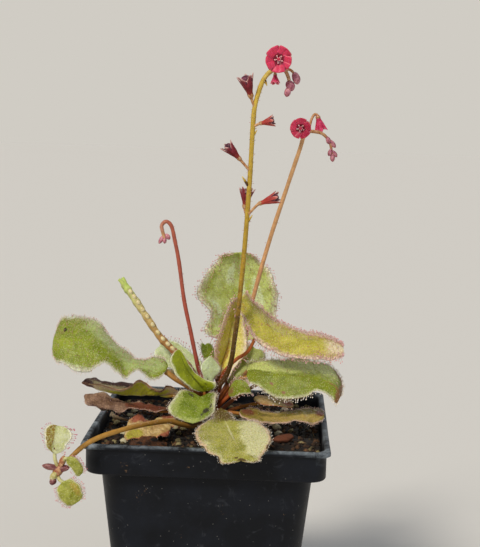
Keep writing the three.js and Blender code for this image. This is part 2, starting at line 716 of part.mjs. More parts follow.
leaf('leaf_left_folded', {
  stalk: [[-2.1, -0.3, 76], [-4.8, -0.9, 79.4]],
  spine: [
    [-10.1, -2.6, 82.3], [-13.7, -3, 81.9], [-16.7, -3.4, 81.8], [-19.7, -3.6, 81.7],
    [-22.9, -3.8, 81.6], [-27.6, -4, 81.7], [-33.1, -4, 82.5], [-40.1, -3, 84.5],
  ],
  left: [
    [-14.1, -5, 85.2], [-16, -5.8, 83.7], [-18.9, -6, 85], [-22.6, -6.4, 87.2],
    [-26.5, -6.8, 83.6], [-32.8, -6.4, 84.4],
  ],
  right: [
    [-14.1, 1, 82.6], [-17.3, 1.6, 82.5], [-20.4, 2, 83.1], [-24.2, 2.4, 83.5],
    [-28.9, 2.6, 83.8], [-35.1, 2, 84.6],
  ],
  across: 4,
  along: 1,
  base: 2,
  tip: 1.4,
  step: 4,
  long: 0.9,
  colour: colours.olive,
});
leaf('leaf_left_dry', {
  stalk: [[-1.9, -1.7, 76], [-5, -4.6, 77.6]],
  spine: [
    [-12, -7.6, 78.8], [-16.9, -9.4, 79.2], [-21.9, -10.6, 79.8], [-26.9, -11.2, 80.5],
    [-32.6, -11.2, 81.3], [-38.2, -9.6, 82.3],
  ],
  left: [[-16.6, -12, 78.7], [-21.6, -13, 79.4], [-26.8, -13.8, 79.1], [-34, -13.2, 79.5]],
  right: [[-17.7, -8.2, 80], [-22.4, -8.8, 79.4], [-27.2, -9, 81], [-32.4, -9, 82.6]],
  across: 4,
  base: 2,
  along: 1,
  wave: [2, 0.4, 0.3],
  step: 4,
  long: 0.9,
  colour: colours.dry,
});
leaf('leaf_soil_dying', {
  stalk: [[-1.4, -2.1, 72.7], [-4.6, -5.4, 73.8]],
  spine: [
    [-7.6, -8, 76.3], [-11, -10.6, 75.8], [-14, -13, 75.5], [-17.6, -15, 75], [-20.9, -16.6, 74.7],
    [-23.4, -18, 74.1], [-24.5, -19.6, 72.8],
  ],
  left: [
    [-11.4, -13.6, 74.5], [-12.4, -18, 73], [-16.2, -19.4, 72.4], [-18.8, -19, 73.3],
    [-22.2, -20, 72.6],
  ],
  right: [
    [-12, -7, 76.8], [-16, -8.6, 76.6], [-18.8, -10.6, 76], [-21.2, -10.6, 77.4], [-23.8, -13.4, 76.7],
  ],
  across: 4,
  along: 1,
  step: 4,
  long: 0.9,
  colour: colours.tan,
});
leaf('leaf_soil_rotten', {
  clearOf: [],
  spine: [
    [-11.8, -21.6, 72], [-14.9, -22.6, 72.8], [-18.1, -22.8, 72.9], [-20.7, -22.6, 72.5],
    [-22.9, -22, 71.6],
  ],
  left: [[-14.6, -25.2, 71.8], [-17.4, -25.4, 71.7], [-20.1, -25, 71.6]],
  right: [[-14.8, -21, 73.2], [-17.9, -21, 73.7], [-20.6, -21, 73]],
  across: 4,
  along: 1,
  wave: [3, 0.3, 0],
  step: 9,
  long: 0.6,
  colour: colours.rust,
});
leaf('leaf_front_round', {
  stalk: [[-0.9, -2.7, 78.4], [-1.6, -4.6, 80.2]],
  spine: [[-3.4, -6.2, 82.4], [-4.2, -10, 80.8], [-4.7, -14, 79], [-4.9, -16.6, 76.9]],
  left: [[-10.6, -5.8, 83.4], [-12.8, -11, 79.9]],
  right: [[1.4, -6.8, 83.2], [1.4, -12.6, 80.4]],
  across: 4,
  wave: [2, 0.25, 0],
  colour: colours.green,
});
leaf('leaf_front_rim', {
  stalk: [[0.2, -2.8, 75.6], [1, -6.2, 77], [2.8, -11.4, 79]],
  spine: [
    [3.2, -15.5, 81.6], [4.6, -21.4, 80], [6.4, -27, 78.6], [8.2, -33, 77.1], [9.6, -38.4, 75.6],
    [10.3, -41.4, 74.2],
  ],
  left: [[1, -21, 79.5], [-3.3, -26.4, 77.6], [-1.4, -35.6, 76.6], [3.9, -41, 74.1]],
  right: [[7.9, -22.6, 79.8], [13.8, -25, 80.3], [18.3, -33.5, 78.8], [15.7, -40.8, 74.6]],
  join: [0.5, 1.4, 2.4],
  across: 4,
  base: 1.4,
  wave: [2, 0.25, 0.1],
  colour: colours.pale,
});

// The rolled leaf is a ribbed stick with a forked tip
function makeRolledLeaf() {
  const points = [
    [-1.8, -0.6, 81.6], [-4.6, 0.2, 86.2], [-8.9, 2, 90.5], [-13, 4.2, 94], [-17.5, 5, 98.2],
    [-22.3, 6, 104.7], [-26.2, 6.6, 110.2], [-29.2, 7, 114],
  ];
  rememberTube('leaf_rolled', points);
  const bumps = points.flatMap((_, i) => (i < 2 ? [0.7, 0.75] : [1.3, 1.05]));
  let solid = tubeSolid(points, bumps, 6, 2);
  solid = solid.add(tubeSolid([[-28.8, 6.6, 113.4], [-30.6, 6.4, 115.4]], [0.8, 0.5], 5, 1));
  solid = solid.add(tubeSolid([[-28.8, 7.4, 113.4], [-29.6, 7.8, 115.9]], [0.8, 0.5], 5, 1));
  addNode('leaf_rolled', solid.subtract(crownFat), colours.stick, 0.5);
}
makeRolledLeaf();

// Buds are small egg shapes along an axis
function budSolid(centre, towards, long, wide, fatter = 0) {
  const egg = new THREE.SphereGeometry(1, 5, 4);
  egg.scale(wide / 2 + fatter, long / 2 + fatter, wide / 2 + fatter);
  const axis = vector(towards).normalize();
  egg.applyQuaternion(new THREE.Quaternion().setFromUnitVectors(new THREE.Vector3(0, 1, 0), axis));
  egg.translate(...centre);
  return solidFromGeometry(egg);
}

// Plantlet heart: the runner's swollen end with old flower bases and young leaf points
const plantletParts = [
  { centre: [-39.4, -42, 69.4], towards: [0.6, 0, 1], long: 4, wide: 2.6 },
  { centre: [-37.9, -42.2, 70.2], towards: [1, 0, 0.25], long: 3.6, wide: 1.8 },
  { centre: [-38.2, -42.2, 72.2], towards: [0.35, 0, 1], long: 3.6, wide: 1.8 },
  { centre: [-41.4, -42.4, 70.6], towards: [-1, 0, 0.15], long: 4.6, wide: 1.7 },
  { centre: [-40.4, -42.8, 68.2], towards: [-0.6, 0, -1], long: 3, wide: 1.9 },
  { centre: [-40.6, -42.8, 66.8], towards: [-0.3, 0, -1], long: 2.4, wide: 1.9 },
];
const plantletHeart = (fatter) => plantletParts
  .map((p) => budSolid(p.centre, p.towards, p.long, p.wide, fatter))
  .reduce((a, b) => a.add(b));
const plantletFat = plantletHeart(touchGap);
addNode('plantlet_heart', plantletHeart(0).subtract(scapeFat.runner), colours.maroon, 0.6);

// The plantlet's leaves, hanging free in front of the pot's corner
leaf('plantlet_leaf_upper', {
  clearOf: [plantletFat],
  stalkRadius: [0.55, 0.5],
  stalk: [[-39.4, -42, 70.4], [-40.1, -42.6, 73]],
  spine: [[-40.2, -42.4, 74.2], [-40.4, -42.6, 76.4], [-39.9, -42.4, 79.2], [-39.6, -41.6, 82]],
  left: [[-42.6, -43.4, 77.6], [-43, -42.6, 80.6]],
  right: [[-37, -43.4, 76.8], [-35.4, -43, 79.4]],
  across: 4,
  base: 1.6,
  step: 2.7,
  colour: colours.pale,
});
leaf('plantlet_leaf_side', {
  clearOf: [plantletFat],
  stalkRadius: [0.5, 0.45],
  stalk: [[-37.6, -42.4, 72.6], [-37.1, -43, 73.4]],
  spine: [[-36.5, -43.4, 73.9], [-35.1, -43.8, 73], [-33.6, -44, 71.3], [-32.8, -43.4, 69.2]],
  left: [[-34, -43.6, 73.6], [-32.5, -43.6, 71.8]],
  right: [[-35.9, -44.4, 71.5], [-34.5, -44.4, 69.9]],
  across: 4,
  step: 2.7,
  colour: colours.olive,
});
leaf('plantlet_leaf_lower', {
  clearOf: [plantletFat],
  stalkRadius: [0.55, 0.5],
  stalk: [[-39.6, -42.2, 68.4], [-38.7, -42.8, 67.2]],
  spine: [
    [-37.7, -43.4, 66.9], [-36.8, -43.8, 65.8], [-35.7, -44, 64.3], [-34.7, -43.8, 62.6],
    [-33.9, -43.2, 61.1],
  ],
  left: [[-34.5, -43.4, 67.4], [-32.9, -43.6, 66.2], [-32.4, -43.4, 64.2]],
  right: [[-39.2, -43.4, 63.9], [-38.6, -43.6, 62.1], [-37.1, -43.4, 60.7]],
  across: 4,
  along: 1,
  step: 2.7,
  colour: colours.green,
});

// A withered flower: a narrow trumpet with a lobed mouth on its thin stalk
function trumpetSolid(stalk, neck, mouth, wide) {
  const sides = 8;
  const axis = vector(mouth).sub(vector(neck));
  const long = axis.length();
  axis.normalize();
  const helper = Math.abs(axis.z) > 0.8 ? new THREE.Vector3(1, 0, 0) : new THREE.Vector3(0, 0, 1);
  const across = new THREE.Vector3().crossVectors(axis, helper).normalize();
  const other = new THREE.Vector3().crossVectors(axis, across);
  const profile = [[0, 0.35, 0], [0.4, 0.65, 0], [0.9, 1, 0.35]];
  const rings = profile.map(([along, share, lobe]) => {
    const ring = [];
    for (let j = 0; j < sides; j += 1) {
      const angle = j / sides * 2 * Math.PI;
      const peak = j % 2 === 0 ? 1 : 0;
      const radius = wide / 2 * share * (1 - 0.25 * lobe * (1 - peak));
      ring.push(vector(neck)
        .addScaledVector(axis, long * (along + 0.35 * lobe * peak))
        .addScaledVector(across, radius * Math.cos(angle))
        .addScaledVector(other, radius * Math.sin(angle)));
    }
    return ring;
  });
  const cup = rings.at(-1).reduce((sum, p) => sum.add(p), new THREE.Vector3()).divideScalar(sides);
  cup.addScaledVector(axis, -0.3 * long);
  rings.push(rings.at(-1).map((p) => p.clone().lerp(cup, 0.8)));
  const stalkEnd = vector(neck).addScaledVector(axis, 0.25 * long).toArray();
  return solidFromRings(rings).add(tubeSolid([...stalk, neck, stalkEnd], [0.38, 0.42, 0.4], 5, 1));
}

const trumpets = {
  flower_old_1: { root: [10.3, -9.2, 169], neck: [9.3, -9.7, 171.6], mouth: [7.6, -11, 177.2], wide: 4.2 },
  flower_old_2: { root: [10.2, -9.2, 163.6], neck: [11.8, -9.6, 164.4], mouth: [15.6, -10, 165.4], wide: 2.9 },
  flower_old_3: { root: [9.5, -9.2, 150.8], neck: [6.8, -9.9, 153.8], mouth: [3, -11, 157.8], wide: 3.4 },
  flower_old_4: { root: [8.9, -8.6, 137.6], neck: [8.2, -6.4, 139.6], mouth: [8.7, -5.2, 144.8], wide: 4 },
  flower_old_5: { root: [9.2, -9.2, 138], neck: [12.2, -10, 141.3], mouth: [17.4, -11, 143.5], wide: 3.2 },
};
for (const [name, t] of Object.entries(trumpets)) {
  const solid = trumpetSolid([t.root], t.neck, t.mouth, t.wide);
  addNode(name, solid.subtract(scapeFat.scape_tall), colours.maroon, 0.55);
}

// An open flower: five petals, each over the next, a calyx behind and stamens in front
function flowerSolid(centre, facing, radius, bowl, turn, back) {
  const c = vector(centre);
  const n = vector(facing).normalize();
  const across = new THREE.Vector3().crossVectors(n, new THREE.Vector3(0, 0, 1)).normalize();
  const other = new THREE.Vector3().crossVectors(n, across);
  const at = (angle, r, lift) => c.clone()
    .addScaledVector(across, r * Math.cos(angle))
    .addScaledVector(other, r * Math.sin(angle))
    .addScaledVector(n, lift)
    .toArray();
  const calyx = c.clone().addScaledVector(n, 0.1).toArray();
  const middle = c.clone().addScaledVector(n, -0.9).toArray();
  let solid = tubeSolid([back, middle, calyx], [0.45, 0.8, 1.1], 6, 1);
  for (let k = 0; k < 5; k += 1) {
    const a = turn + k * 2 * Math.PI / 5;
    const wide = 0.76;
    const narrow = 0.58;
    const petal = bladeSheet({
      spine: [at(a, 0.5, 0), at(a, 0.5 * radius, 0.35 * bowl), at(a, 0.85 * radius, 0.75 * bowl),
        at(a, radius, bowl)],
      left: [
        at(a - wide, 0.62 * radius, 0.3 * bowl - 0.5),
        at(a - narrow, 0.96 * radius, 0.7 * bowl - 0.4),
      ],
      right: [
        at(a + wide, 0.62 * radius, 0.3 * bowl + 0.5),
        at(a + narrow, 0.96 * radius, 0.7 * bowl + 0.5),
      ],
      base: 1.2,
    });
    solid = solid.add(bladeSolid(petal, 2, 1, 2, petalThick));
  }
  return solid.add(tubeSolid([at(0, 0, -0.2), at(0, 0, 1.1)], [1.1, 0.6], 5, 1));
}

const flowers = {
  flower_open_tall: {
    solid: flowerSolid([16.8, -13, 182.6], [0.02, -1, -0.06], 3.8, 1, 0.3, [16.2, -10, 181]),
    clearOf: scapeFat.scape_tall,
  },
  flower_open_leaning: {
    solid: flowerSolid([24, 6, 163.4], [-0.12, -1, -0.1], 3.2, 0.8, 0.9, [25, 9.6, 162]),
    clearOf: scapeFat.scape_leaning,
  },
};
for (const [name, flower] of Object.entries(flowers)) {
  addNode(name, flower.solid.subtract(flower.clearOf), colours.crimson, 0.45);
}

// Half-open pink flowers, each on a short stalk
const pinkFlowers = {
  flower_pink_tall: {
    solid: trumpetSolid([[16, -9.6, 179.6]], [15.9, -9.8, 178.8], [16.1, -10.4, 175.9], 2.6),
    clearOf: scapeFat.scape_tall,
  },
  flower_pink_leaning: {
    solid: trumpetSolid(
      [[26.6, 10, 163.1], [27.2, 10.9, 166], [28.1, 11.2, 167.6]],
      [29, 11.4, 167.4],
      [30.3, 11.9, 163],
      3.6,
    ),
    clearOf: scapeFat.scape_leaning,
  },
};
for (const [name, flower] of Object.entries(pinkFlowers)) {
  addNode(name, flower.solid.subtract(flower.clearOf), colours.pink, 0.45);
}

// Bud clusters: the drooping end of each scape with its unopened buds
const budClusters = {
  buds_tall: {
    stems: [
      {
        points: [[16.2, -9.6, 180.4], [18.4, -9, 180], [19.7, -9, 177.8], [20.2, -9, 175.4]],
        radii: [0.6, 0.5],
      },
      { points: [[18.2, -9, 180], [20.2, -9, 179.9], [21.6, -9, 178.6]], radii: [0.45, 0.35] },
    ],
    buds: [
      { centre: [21.9, -9, 177.6], towards: [0.35, 0, -1], long: 3.4, wide: 2.3 },
      { centre: [20.3, -9.2, 175.4], towards: [0.5, 0, -1], long: 3, wide: 2.6 },
      { centre: [19.6, -9.4, 173.6], towards: [-0.2, 0, -1], long: 2.6, wide: 1.9 },
    ],
    clearOf: ['scape_tall'],
  },
  buds_leaning: {
    stems: [
      {
        points: [[26.4, 9.8, 162.6], [28.4, 10, 162.4], [30.4, 10, 162], [32, 10, 160.8], [33.2, 10, 159],
          [33.6, 10, 157], [34, 10, 155.4]],
        radii: [0.55, 0.5, 0.45, 0.4],
      },
    ],
    buds: [
      { centre: [32.5, 9.5, 159.9], towards: [0.3, 0, -1], long: 2.2, wide: 1.5 },
      { centre: [33.9, 10.1, 158.9], towards: [0.8, 0, -1], long: 2.8, wide: 1.4 },
      { centre: [33.2, 9.7, 156.3], towards: [-0.3, 0, -1], long: 2.2, wide: 1.4 },
      { centre: [34.6, 10.2, 155.9], towards: [0.8, 0, -1], long: 2.4, wide: 1.3 },
      { centre: [34, 10, 154.7], towards: [0.1, 0, -1], long: 2.4, wide: 1.5 },
    ],
    clearOf: ['scape_leaning'],
  },
  buds_short: {
    stems: [{ points: [[-16.9, 3, 131], [-16.4, 3, 129.6], [-16.2, 3, 128.8]], radii: [0.55, 0.5] }],
    buds: [
      { centre: [-15.3, 2.8, 129.6], towards: [0.8, 0, -1], long: 2, wide: 1.4 },
      { centre: [-17.3, 3, 128.6], towards: [-0.5, 0, -1], long: 2.6, wide: 1.3 },
      { centre: [-16.2, 2.9, 128.4], towards: [0, 0, -1], long: 1.8, wide: 1.2 },
    ],
    clearOf: ['scape_short'],
  },
};
for (const [name, cluster] of Object.entries(budClusters)) {
  let solid = tubeSolid(cluster.stems[0].points, cluster.stems[0].radii, 5, 1);
  for (const stem of cluster.stems.slice(1)) {
    solid = solid.add(tubeSolid(stem.points, stem.radii, 5, 1));
  }
  for (const bud of cluster.buds) {
    solid = solid.add(budSolid(bud.centre, bud.towards, bud.long, bud.wide));
  }
  for (const stem of cluster.clearOf) solid = solid.subtract(scapeFat[stem]);
  addNode(name, solid, colours.mauve, 0.55);
}

// Litter on the soil: a flake of bark and a bit of twig
const bark = new THREE.IcosahedronGeometry(1, 0);
bark.scale(3.3, 1.9, 1).rotateZ(0.5).rotateX(0.15).translate(21.7, -13, 72.4);
addNode('bark_flake', solidFromGeometry(bark), colours.bark, 0.9);
const twigPoints = [[-32, 3.6, 73.2], [-30.6, 2.8, 72.8], [-28.6, 1.6, 72.5], [-26.4, 0.8, 72.3]];
addNode('twig', tubeSolid(twigPoints, [0.85, 0.5, 0.4, 0.3], 5, 1), colours.twig, 0.9);

for (const job of leafJobs) growLeaf(job);

export default group;
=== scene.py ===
# The looks of a potted sundew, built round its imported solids: a square nursery pot of
# peat, a rosette of leaves fringed with dew-tipped tentacles, three flower scapes and a
# runner with a plantlet. Points and sizes are in millimetres; meshes are in metres, +Z up.
import math

import bpy
import numpy as np
from mathutils import Matrix, Vector


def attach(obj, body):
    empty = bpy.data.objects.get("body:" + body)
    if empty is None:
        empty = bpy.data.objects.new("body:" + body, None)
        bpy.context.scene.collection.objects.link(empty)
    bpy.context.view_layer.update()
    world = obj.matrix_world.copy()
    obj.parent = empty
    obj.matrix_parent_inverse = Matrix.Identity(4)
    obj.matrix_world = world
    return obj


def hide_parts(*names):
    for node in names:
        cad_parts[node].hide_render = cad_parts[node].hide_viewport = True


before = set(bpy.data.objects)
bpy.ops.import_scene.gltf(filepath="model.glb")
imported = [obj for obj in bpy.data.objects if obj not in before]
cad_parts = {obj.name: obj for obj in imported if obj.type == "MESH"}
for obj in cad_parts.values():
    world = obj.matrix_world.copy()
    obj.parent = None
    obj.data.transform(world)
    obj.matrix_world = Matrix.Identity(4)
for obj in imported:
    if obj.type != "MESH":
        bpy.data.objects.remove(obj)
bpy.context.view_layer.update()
MM = 0.001


# Small tools
def linear(code):
    """An sRGB hex value as linear red, green, blue and a full alpha"""
    values = [int(code[k:k + 2], 16) / 255 for k in (1, 3, 5)]
    return [v / 12.92 if v <= 0.04045 else ((v + 0.055) / 1.055) ** 2.4 for v in values] + [1]


def add(tree, kind, inputs=None, out=0, **settings):
    """Adds a node with its settings, sets or links its inputs, and gives back one output"""
    node = tree.nodes.new(kind)
    for name, value in settings.items():
        setattr(node, name, value)
    for key, value in (inputs or {}).items():
        if isinstance(value, bpy.types.NodeSocket):
            tree.links.new(value, node.inputs[key])
        else:
            hex_code = isinstance(value, str) and value.startswith("#")
            node.inputs[key].default_value = linear(value) if hex_code else value
    return node.outputs[out] if len(node.outputs) else None


# The noise draws a value for each corner of a grid of lumps from the corner's whole numbers.
# Each seed starts at another place in it, all of them far from its symmetric middle.
CELL_PRIMES = np.array((73856093, 19349663, 83492791))
MIXING_PRIME = 1274126177
SEED_STRIDE = 57.3
FAR_FROM_ZERO = 1000


def noise(points, lump, seed):
    """Smooth noise from -1 to 1 in lumps of the given size"""
    scaled = np.asarray(points, float) / lump + SEED_STRIDE * seed + FAR_FROM_ZERO
    cell = np.floor(scaled).astype(np.int64)
    part = scaled - cell
    part = part * part * (3 - 2 * part)
    total = np.zeros(scaled.shape[:-1])
    for corner in np.ndindex(2, 2, 2):
        code = np.bitwise_xor.reduce((cell + corner) * CELL_PRIMES, axis=-1)
        code = (code ^ (code >> 13)) * MIXING_PRIME
        value = ((code ^ (code >> 16)) & 0xFFFF) / 32767.5 - 1
        total += value * np.prod(np.where(corner, part, 1 - part), axis=-1)
    return total


def step(low, high, value):
    """0 below low, 1 above high and a smooth rise between them"""
    share = np.clip((value - low) / (high - low), 0, 1)
    return share * share * (3 - 2 * share)


def unit(vectors):
    return vectors / np.maximum(np.linalg.norm(vectors, axis=-1, keepdims=True), 1e-9)


def turn_of(count):
    """The angles of a ring of so many points"""
    return np.arange(count) / count * 2 * np.pi


def level_ring(angle, long, wide, high):
    """An oval about the upright axis, at one height"""
    flat = np.full(len(angle), high)
    return np.stack([long * np.cos(angle), wide * np.sin(angle), flat], -1)


def around(angle, radius, across, other):
    """A ring about the origin, in the plane of two directions"""
    return np.outer(radius * np.cos(angle), across) + np.outer(radius * np.sin(angle), other)


def smooth_curve(points):
    """A curve through points, from 0 at the first one to 1 at the last"""
    p = np.array(points, float)
    if len(p) == 1:
        return lambda t: np.broadcast_to(p[0], np.shape(t) + (3,))
    whole = np.vstack([2 * p[0] - p[1], p, 2 * p[-1] - p[-2]])

    def at(t):
        station = np.clip(np.asarray(t, float), 0, 1) * (len(p) - 1)
        k = np.minimum(station.astype(int), len(p) - 2)
        s = (station - k)[..., None]
        a, b, c, d = (whole[k + i] for i in range(4))
        cubic = 3 * b - a - 3 * c + d
        return b + 0.5 * s * ((c - a) + s * ((2 * a - 5 * b + 4 * c - d) + s * cubic))

    return at


# Meshes: a shell is a closed surface as (points, faces, {attribute: values}, material number)
def grid_faces(number):
    """Faces between the numbered points of a grid"""
    corners = (number[:-1, :-1], number[:-1, 1:], number[1:, 1:], number[1:, :-1])
    return np.stack(corners, -1).reshape(-1, 4).tolist()


def wrapped(rings, count):
    """Numbers for the points of a stack of rings, each with its first one again at its end"""
    number = np.arange(rings * count).reshape(rings, count)
    return np.hstack([number, number[:, :1]])


def ring_faces(rings, count):
    """Faces between rings of equal count, and a fan to a middle point at each end"""
    number = wrapped(rings, count)
    faces = grid_faces(number)
    start, end = number[[0, -1]].tolist()
    middle = rings * count
    for k in range(count):
        faces += [(middle, start[k + 1], start[k]), (middle + 1, end[k], end[k + 1])]
    return faces


def ring_shell(rings, values=None, material=0):
    """A closed shell from a stack of rings"""
    rings = np.asarray(rings, float)
    number, count = rings.shape[:2]
    points = np.vstack([rings.reshape(-1, 3), rings[0].mean(0), rings[-1].mean(0)])
    marks = {"along": np.linspace(0, 1, number)[:, None], **(values or {})}
    for name, value in marks.items():
        flat = np.broadcast_to(value, (number, count)).reshape(-1)
        marks[name] = np.append(flat, (flat[0], flat[-1]))
    return points, ring_faces(number, count), marks, material


def even(station, angle):
    """No swelling anywhere"""
    return 1


def tube(points, radii, sides, per_span, swell=even, material=0):
    """A tube along a smooth curve, with a radius at each of its stations"""
    curve = smooth_curve(points)
    t = np.linspace(0, 1, (len(points) - 1) * per_span + 1)
    centres = curve(t)
    tangents = unit(curve(np.minimum(1, t + 0.01)) - curve(np.maximum(0, t - 0.01)))
    radius = np.interp(t, np.linspace(0, 1, len(radii)), radii)
    angle = turn_of(sides)
    across = np.array([1, 0.1, 0] if abs(tangents[0][2]) > 0.8 else [0.31, 0.17, 0.93])
    rings = []
    for i, tangent in enumerate(tangents):
        across = unit(across - tangent * np.dot(across, tangent))
        other = np.cross(tangent, across)
        rings.append(centres[i] + around(angle, radius[i] * swell(t[i], angle), across, other))
    return ring_shell(rings, material=material)


EGG_SIDES = 14
EGG_RINGS = 13


def egg(centre, towards, long, wide, swell=even, material=0):
    """An egg shape about an axis, with ribs where swell gives them"""
    axis = unit(np.array(towards, float))
    across = unit(np.cross(axis, (0.3, 1, 0.2)))
    other = np.cross(axis, across)
    angle = turn_of(EGG_SIDES)
    rings = []
    for v in np.linspace(0.02, 0.98, EGG_RINGS) * np.pi:
        flat = around(angle, wide / 2 * np.sin(v) * swell(v / np.pi, angle), across, other)
        rings.append(np.array(centre) - axis * (long / 2 * np.cos(v)) + flat)
    return ring_shell(rings, material=material)


def outward(points, faces):
    """The faces turned so that a closed shell's volume is positive"""
    fans = [(face[0], face[k], face[k + 1]) for face in faces for k in range(1, len(face) - 1)]
    a, b, c = points[np.array(fans).T]
    return faces if (a * np.cross(b, c)).sum() > 0 else [face[::-1] for face in faces]


def linked(name, data):
    """A new object in the scene"""
    made = bpy.data.objects.new(name, data)
    bpy.context.scene.collection.objects.link(made)
    return made


def mark_points(mesh, marks):
    """A number for each point of a mesh, under each of the names"""
    for name, values in marks.items():
        layer = mesh.attributes.new(name, "FLOAT", "POINT")
        layer.data.foreach_set("value", values.astype(np.float32))


def mesh_of(name, shells, materials=()):
    """One mesh object from shells, at the origin"""
    faces = []
    numbers = []
    marks = {key: [] for key in sorted({key for shell in shells for key in shell[2]})}
    first = 0
    for points, shell_faces, values, number in shells:
        faces += [[k + first for k in face] for face in outward(points, shell_faces)]
        numbers += [number] * len(shell_faces)
        first += len(points)
        for key, parts in marks.items():
            parts.append(np.broadcast_to(values.get(key, 0.0), len(points)))
    mesh = bpy.data.meshes.new(name)
    mesh.from_pydata((np.vstack([shell[0] for shell in shells]) * MM).tolist(), [], faces)
    mark_points(mesh, {key: np.concatenate(parts) for key, parts in marks.items()})
    mesh.polygons.foreach_set("use_smooth", [True] * len(faces))
    mesh.polygons.foreach_set("material_index", numbers)
    for material in materials:
        mesh.materials.append(material)
    return linked(name, mesh)


def finished_mesh(piece):
    """The mesh that a piece's modifiers make of it"""
    bpy.context.view_layer.update()
    graph = bpy.context.evaluated_depsgraph_get()
    return bpy.data.meshes.new_from_object(piece.evaluated_get(graph))


def place(piece, slot, *nodes):
    """A finished piece rides on the part's body and stands for its nodes, which it hides; slot is not
    used
    """
    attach(piece, "root")
    if nodes:
        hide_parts(*nodes)


# Blades. A blade is a sheet between a left and a right margin with its midrib as spine;
# u runs along the spans of the spine and t from -1 at the left margin to 1 at the right.
CREASE = 0.12
NARROWEST = 0.07
UPPER_SIDE = np.array([0, -0.6, 0.8])
VEINS_PER_SPAN = 2.3
VEIN_SLANT = 1.9
VEIN_WIDTH = 0.22


def blade_sheet(leaf, seed):
    """The middle surface of a blade, as functions for its points and its normals"""
    spine_points = np.array(leaf["spine"], float)
    spans = len(spine_points) - 1
    spine = smooth_curve(spine_points)
    margins = [smooth_curve(np.array(leaf[side], float) - spine_points[1:-1])
               for side in ("left", "right")]
    waves, wave_high, wave_start = leaf["wave"]
    crinkle, quilt, camber = leaf["crinkle"], leaf["quilt"], leaf["camber"]
    crease_high = math.sqrt(1 + CREASE * CREASE)

    def closing(v, power):
        return np.sqrt(np.clip(1 - (1 - np.clip(v, 0, 1)) ** 2, 0, 1)) ** power

    def eased(u):
        """Along the margins from 0 to 1, slow at both ends so that no corner shows there"""
        runs = max(1, spans - 2)
        along = np.clip(u - 1, 0, runs)
        near = 2 * np.minimum(0.5, np.minimum(along, runs - along))
        slow = 0.5 * near - 0.5 * near * near * (2 - near)
        return (along + np.where(along < runs / 2, -slow, slow)) / runs

    def plain(u, t):
        inner = eased(u)
        share = np.minimum(closing(u, leaf["base"]), closing(spans - u, leaf["tip"]))
        soft = (np.sqrt(t * t + CREASE * CREASE) - CREASE) / (crease_high - CREASE)
        wide = np.maximum(NARROWEST, share) * soft
        side = np.where((t < 0)[..., None], margins[0](inner), margins[1](inner))
        return spine(u / spans) + side * wide[..., None]

    def raw_normal(u, t):
        du = plain(np.minimum(spans, u + 0.02), t) - plain(np.maximum(0, u - 0.02), t)
        dt = plain(u, np.minimum(1, t + 0.3)) - plain(u, np.maximum(-1, t - 0.3))
        return unit(np.cross(du, dt))

    upper = 1 if np.dot(raw_normal(np.array(spans / 2), np.array(0.0)), UPPER_SIDE) >= 0 else -1

    def normal(u, t):
        return raw_normal(u, t) * upper

    def point(u, t):
        base = plain(u, t)
        edge = np.abs(t)
        rim = plain(u, np.where(t < 0, -1.0, 1.0)) - plain(u, 0 * t)
        half = np.linalg.norm(rim, axis=-1)
        swing = np.sin(2 * np.pi * (waves * u / spans + wave_start) + np.where(t < 0, 0, 1.9))
        ends = np.minimum(1, 2 * np.minimum(u, spans - u))
        lift = wave_high * swing * t * t * ends
        lift = lift + camber * half * 4 * edge * (1 - edge) * 0.5
        veins = np.abs(np.sin(np.pi * (VEINS_PER_SPAN * u + VEIN_SLANT * edge)))
        lift = lift - quilt * np.exp(-(veins / VEIN_WIDTH) ** 2) * step(0.05, 0.25, edge)
        # Small lumps all over the face, and crinkles that grow toward the margin
        for amount, lump, part in (
            (quilt, 1.5, 0), (0.4 * quilt, 0.7, 1),
            (crinkle * edge ** 3 * ends, 2.6, 2), (0.8 * crinkle * edge ** 2 * ends, 6, 3),
        ):
            lift = lift + amount * noise(base, lump, seed + part)
        scallop = 0.9 * crinkle * noise(base, 1.7, seed + 4) * edge ** 6
        return base + normal(u, t) * lift[..., None] + unit(rim) * scallop[..., None]

    return {"spans": spans, "point": point, "normal": normal, "plain": plain}


def blade_grid(sheet, spacing):
    """The stations along and across a blade, as two grids for faces of about the given size"""
    spans = sheet["spans"]
    u = np.linspace(0, spans, 60)
    left, middle, right = (sheet["plain"](u, np.full(60, t)) for t in (-1.0, 0.0, 1.0))
    long = np.linalg.norm(np.diff(middle, axis=0), axis=1).sum()
    wide = (np.linalg.norm(left - middle, axis=1) + np.linalg.norm(right - middle, axis=1)).max()
    closing = max(5, round(1.2 * long / spans / spacing))
    inner = max(2, round(long * (spans - 2) / spans / spacing))
    bend = 1 - np.cos(np.arange(closing) / closing * np.pi / 2)
    straight = [1] if spans == 2 else np.linspace(1, spans - 1, inner + 1)
    rows = np.concatenate([bend, straight, spans - bend[::-1]])
    columns = 2 * max(4, round(wide / spacing / 2))
    return np.meshgrid(rows, np.linspace(-1, 1, columns + 1), indexing="ij")


def spots(leaf_spots, u, t):
    """How far each point lies in one of the spots (u, t, reach in u, reach in t, amount)"""
    total = np.zeros(u.shape)
    for spot_u, spot_t, reach_u, reach_t, amount in leaf_spots:
        away = np.hypot((u - spot_u) / reach_u, (t - spot_t) / reach_t)
        total = np.maximum(total, amount * (1 - step(0.3, 1.25, away)))
    return total


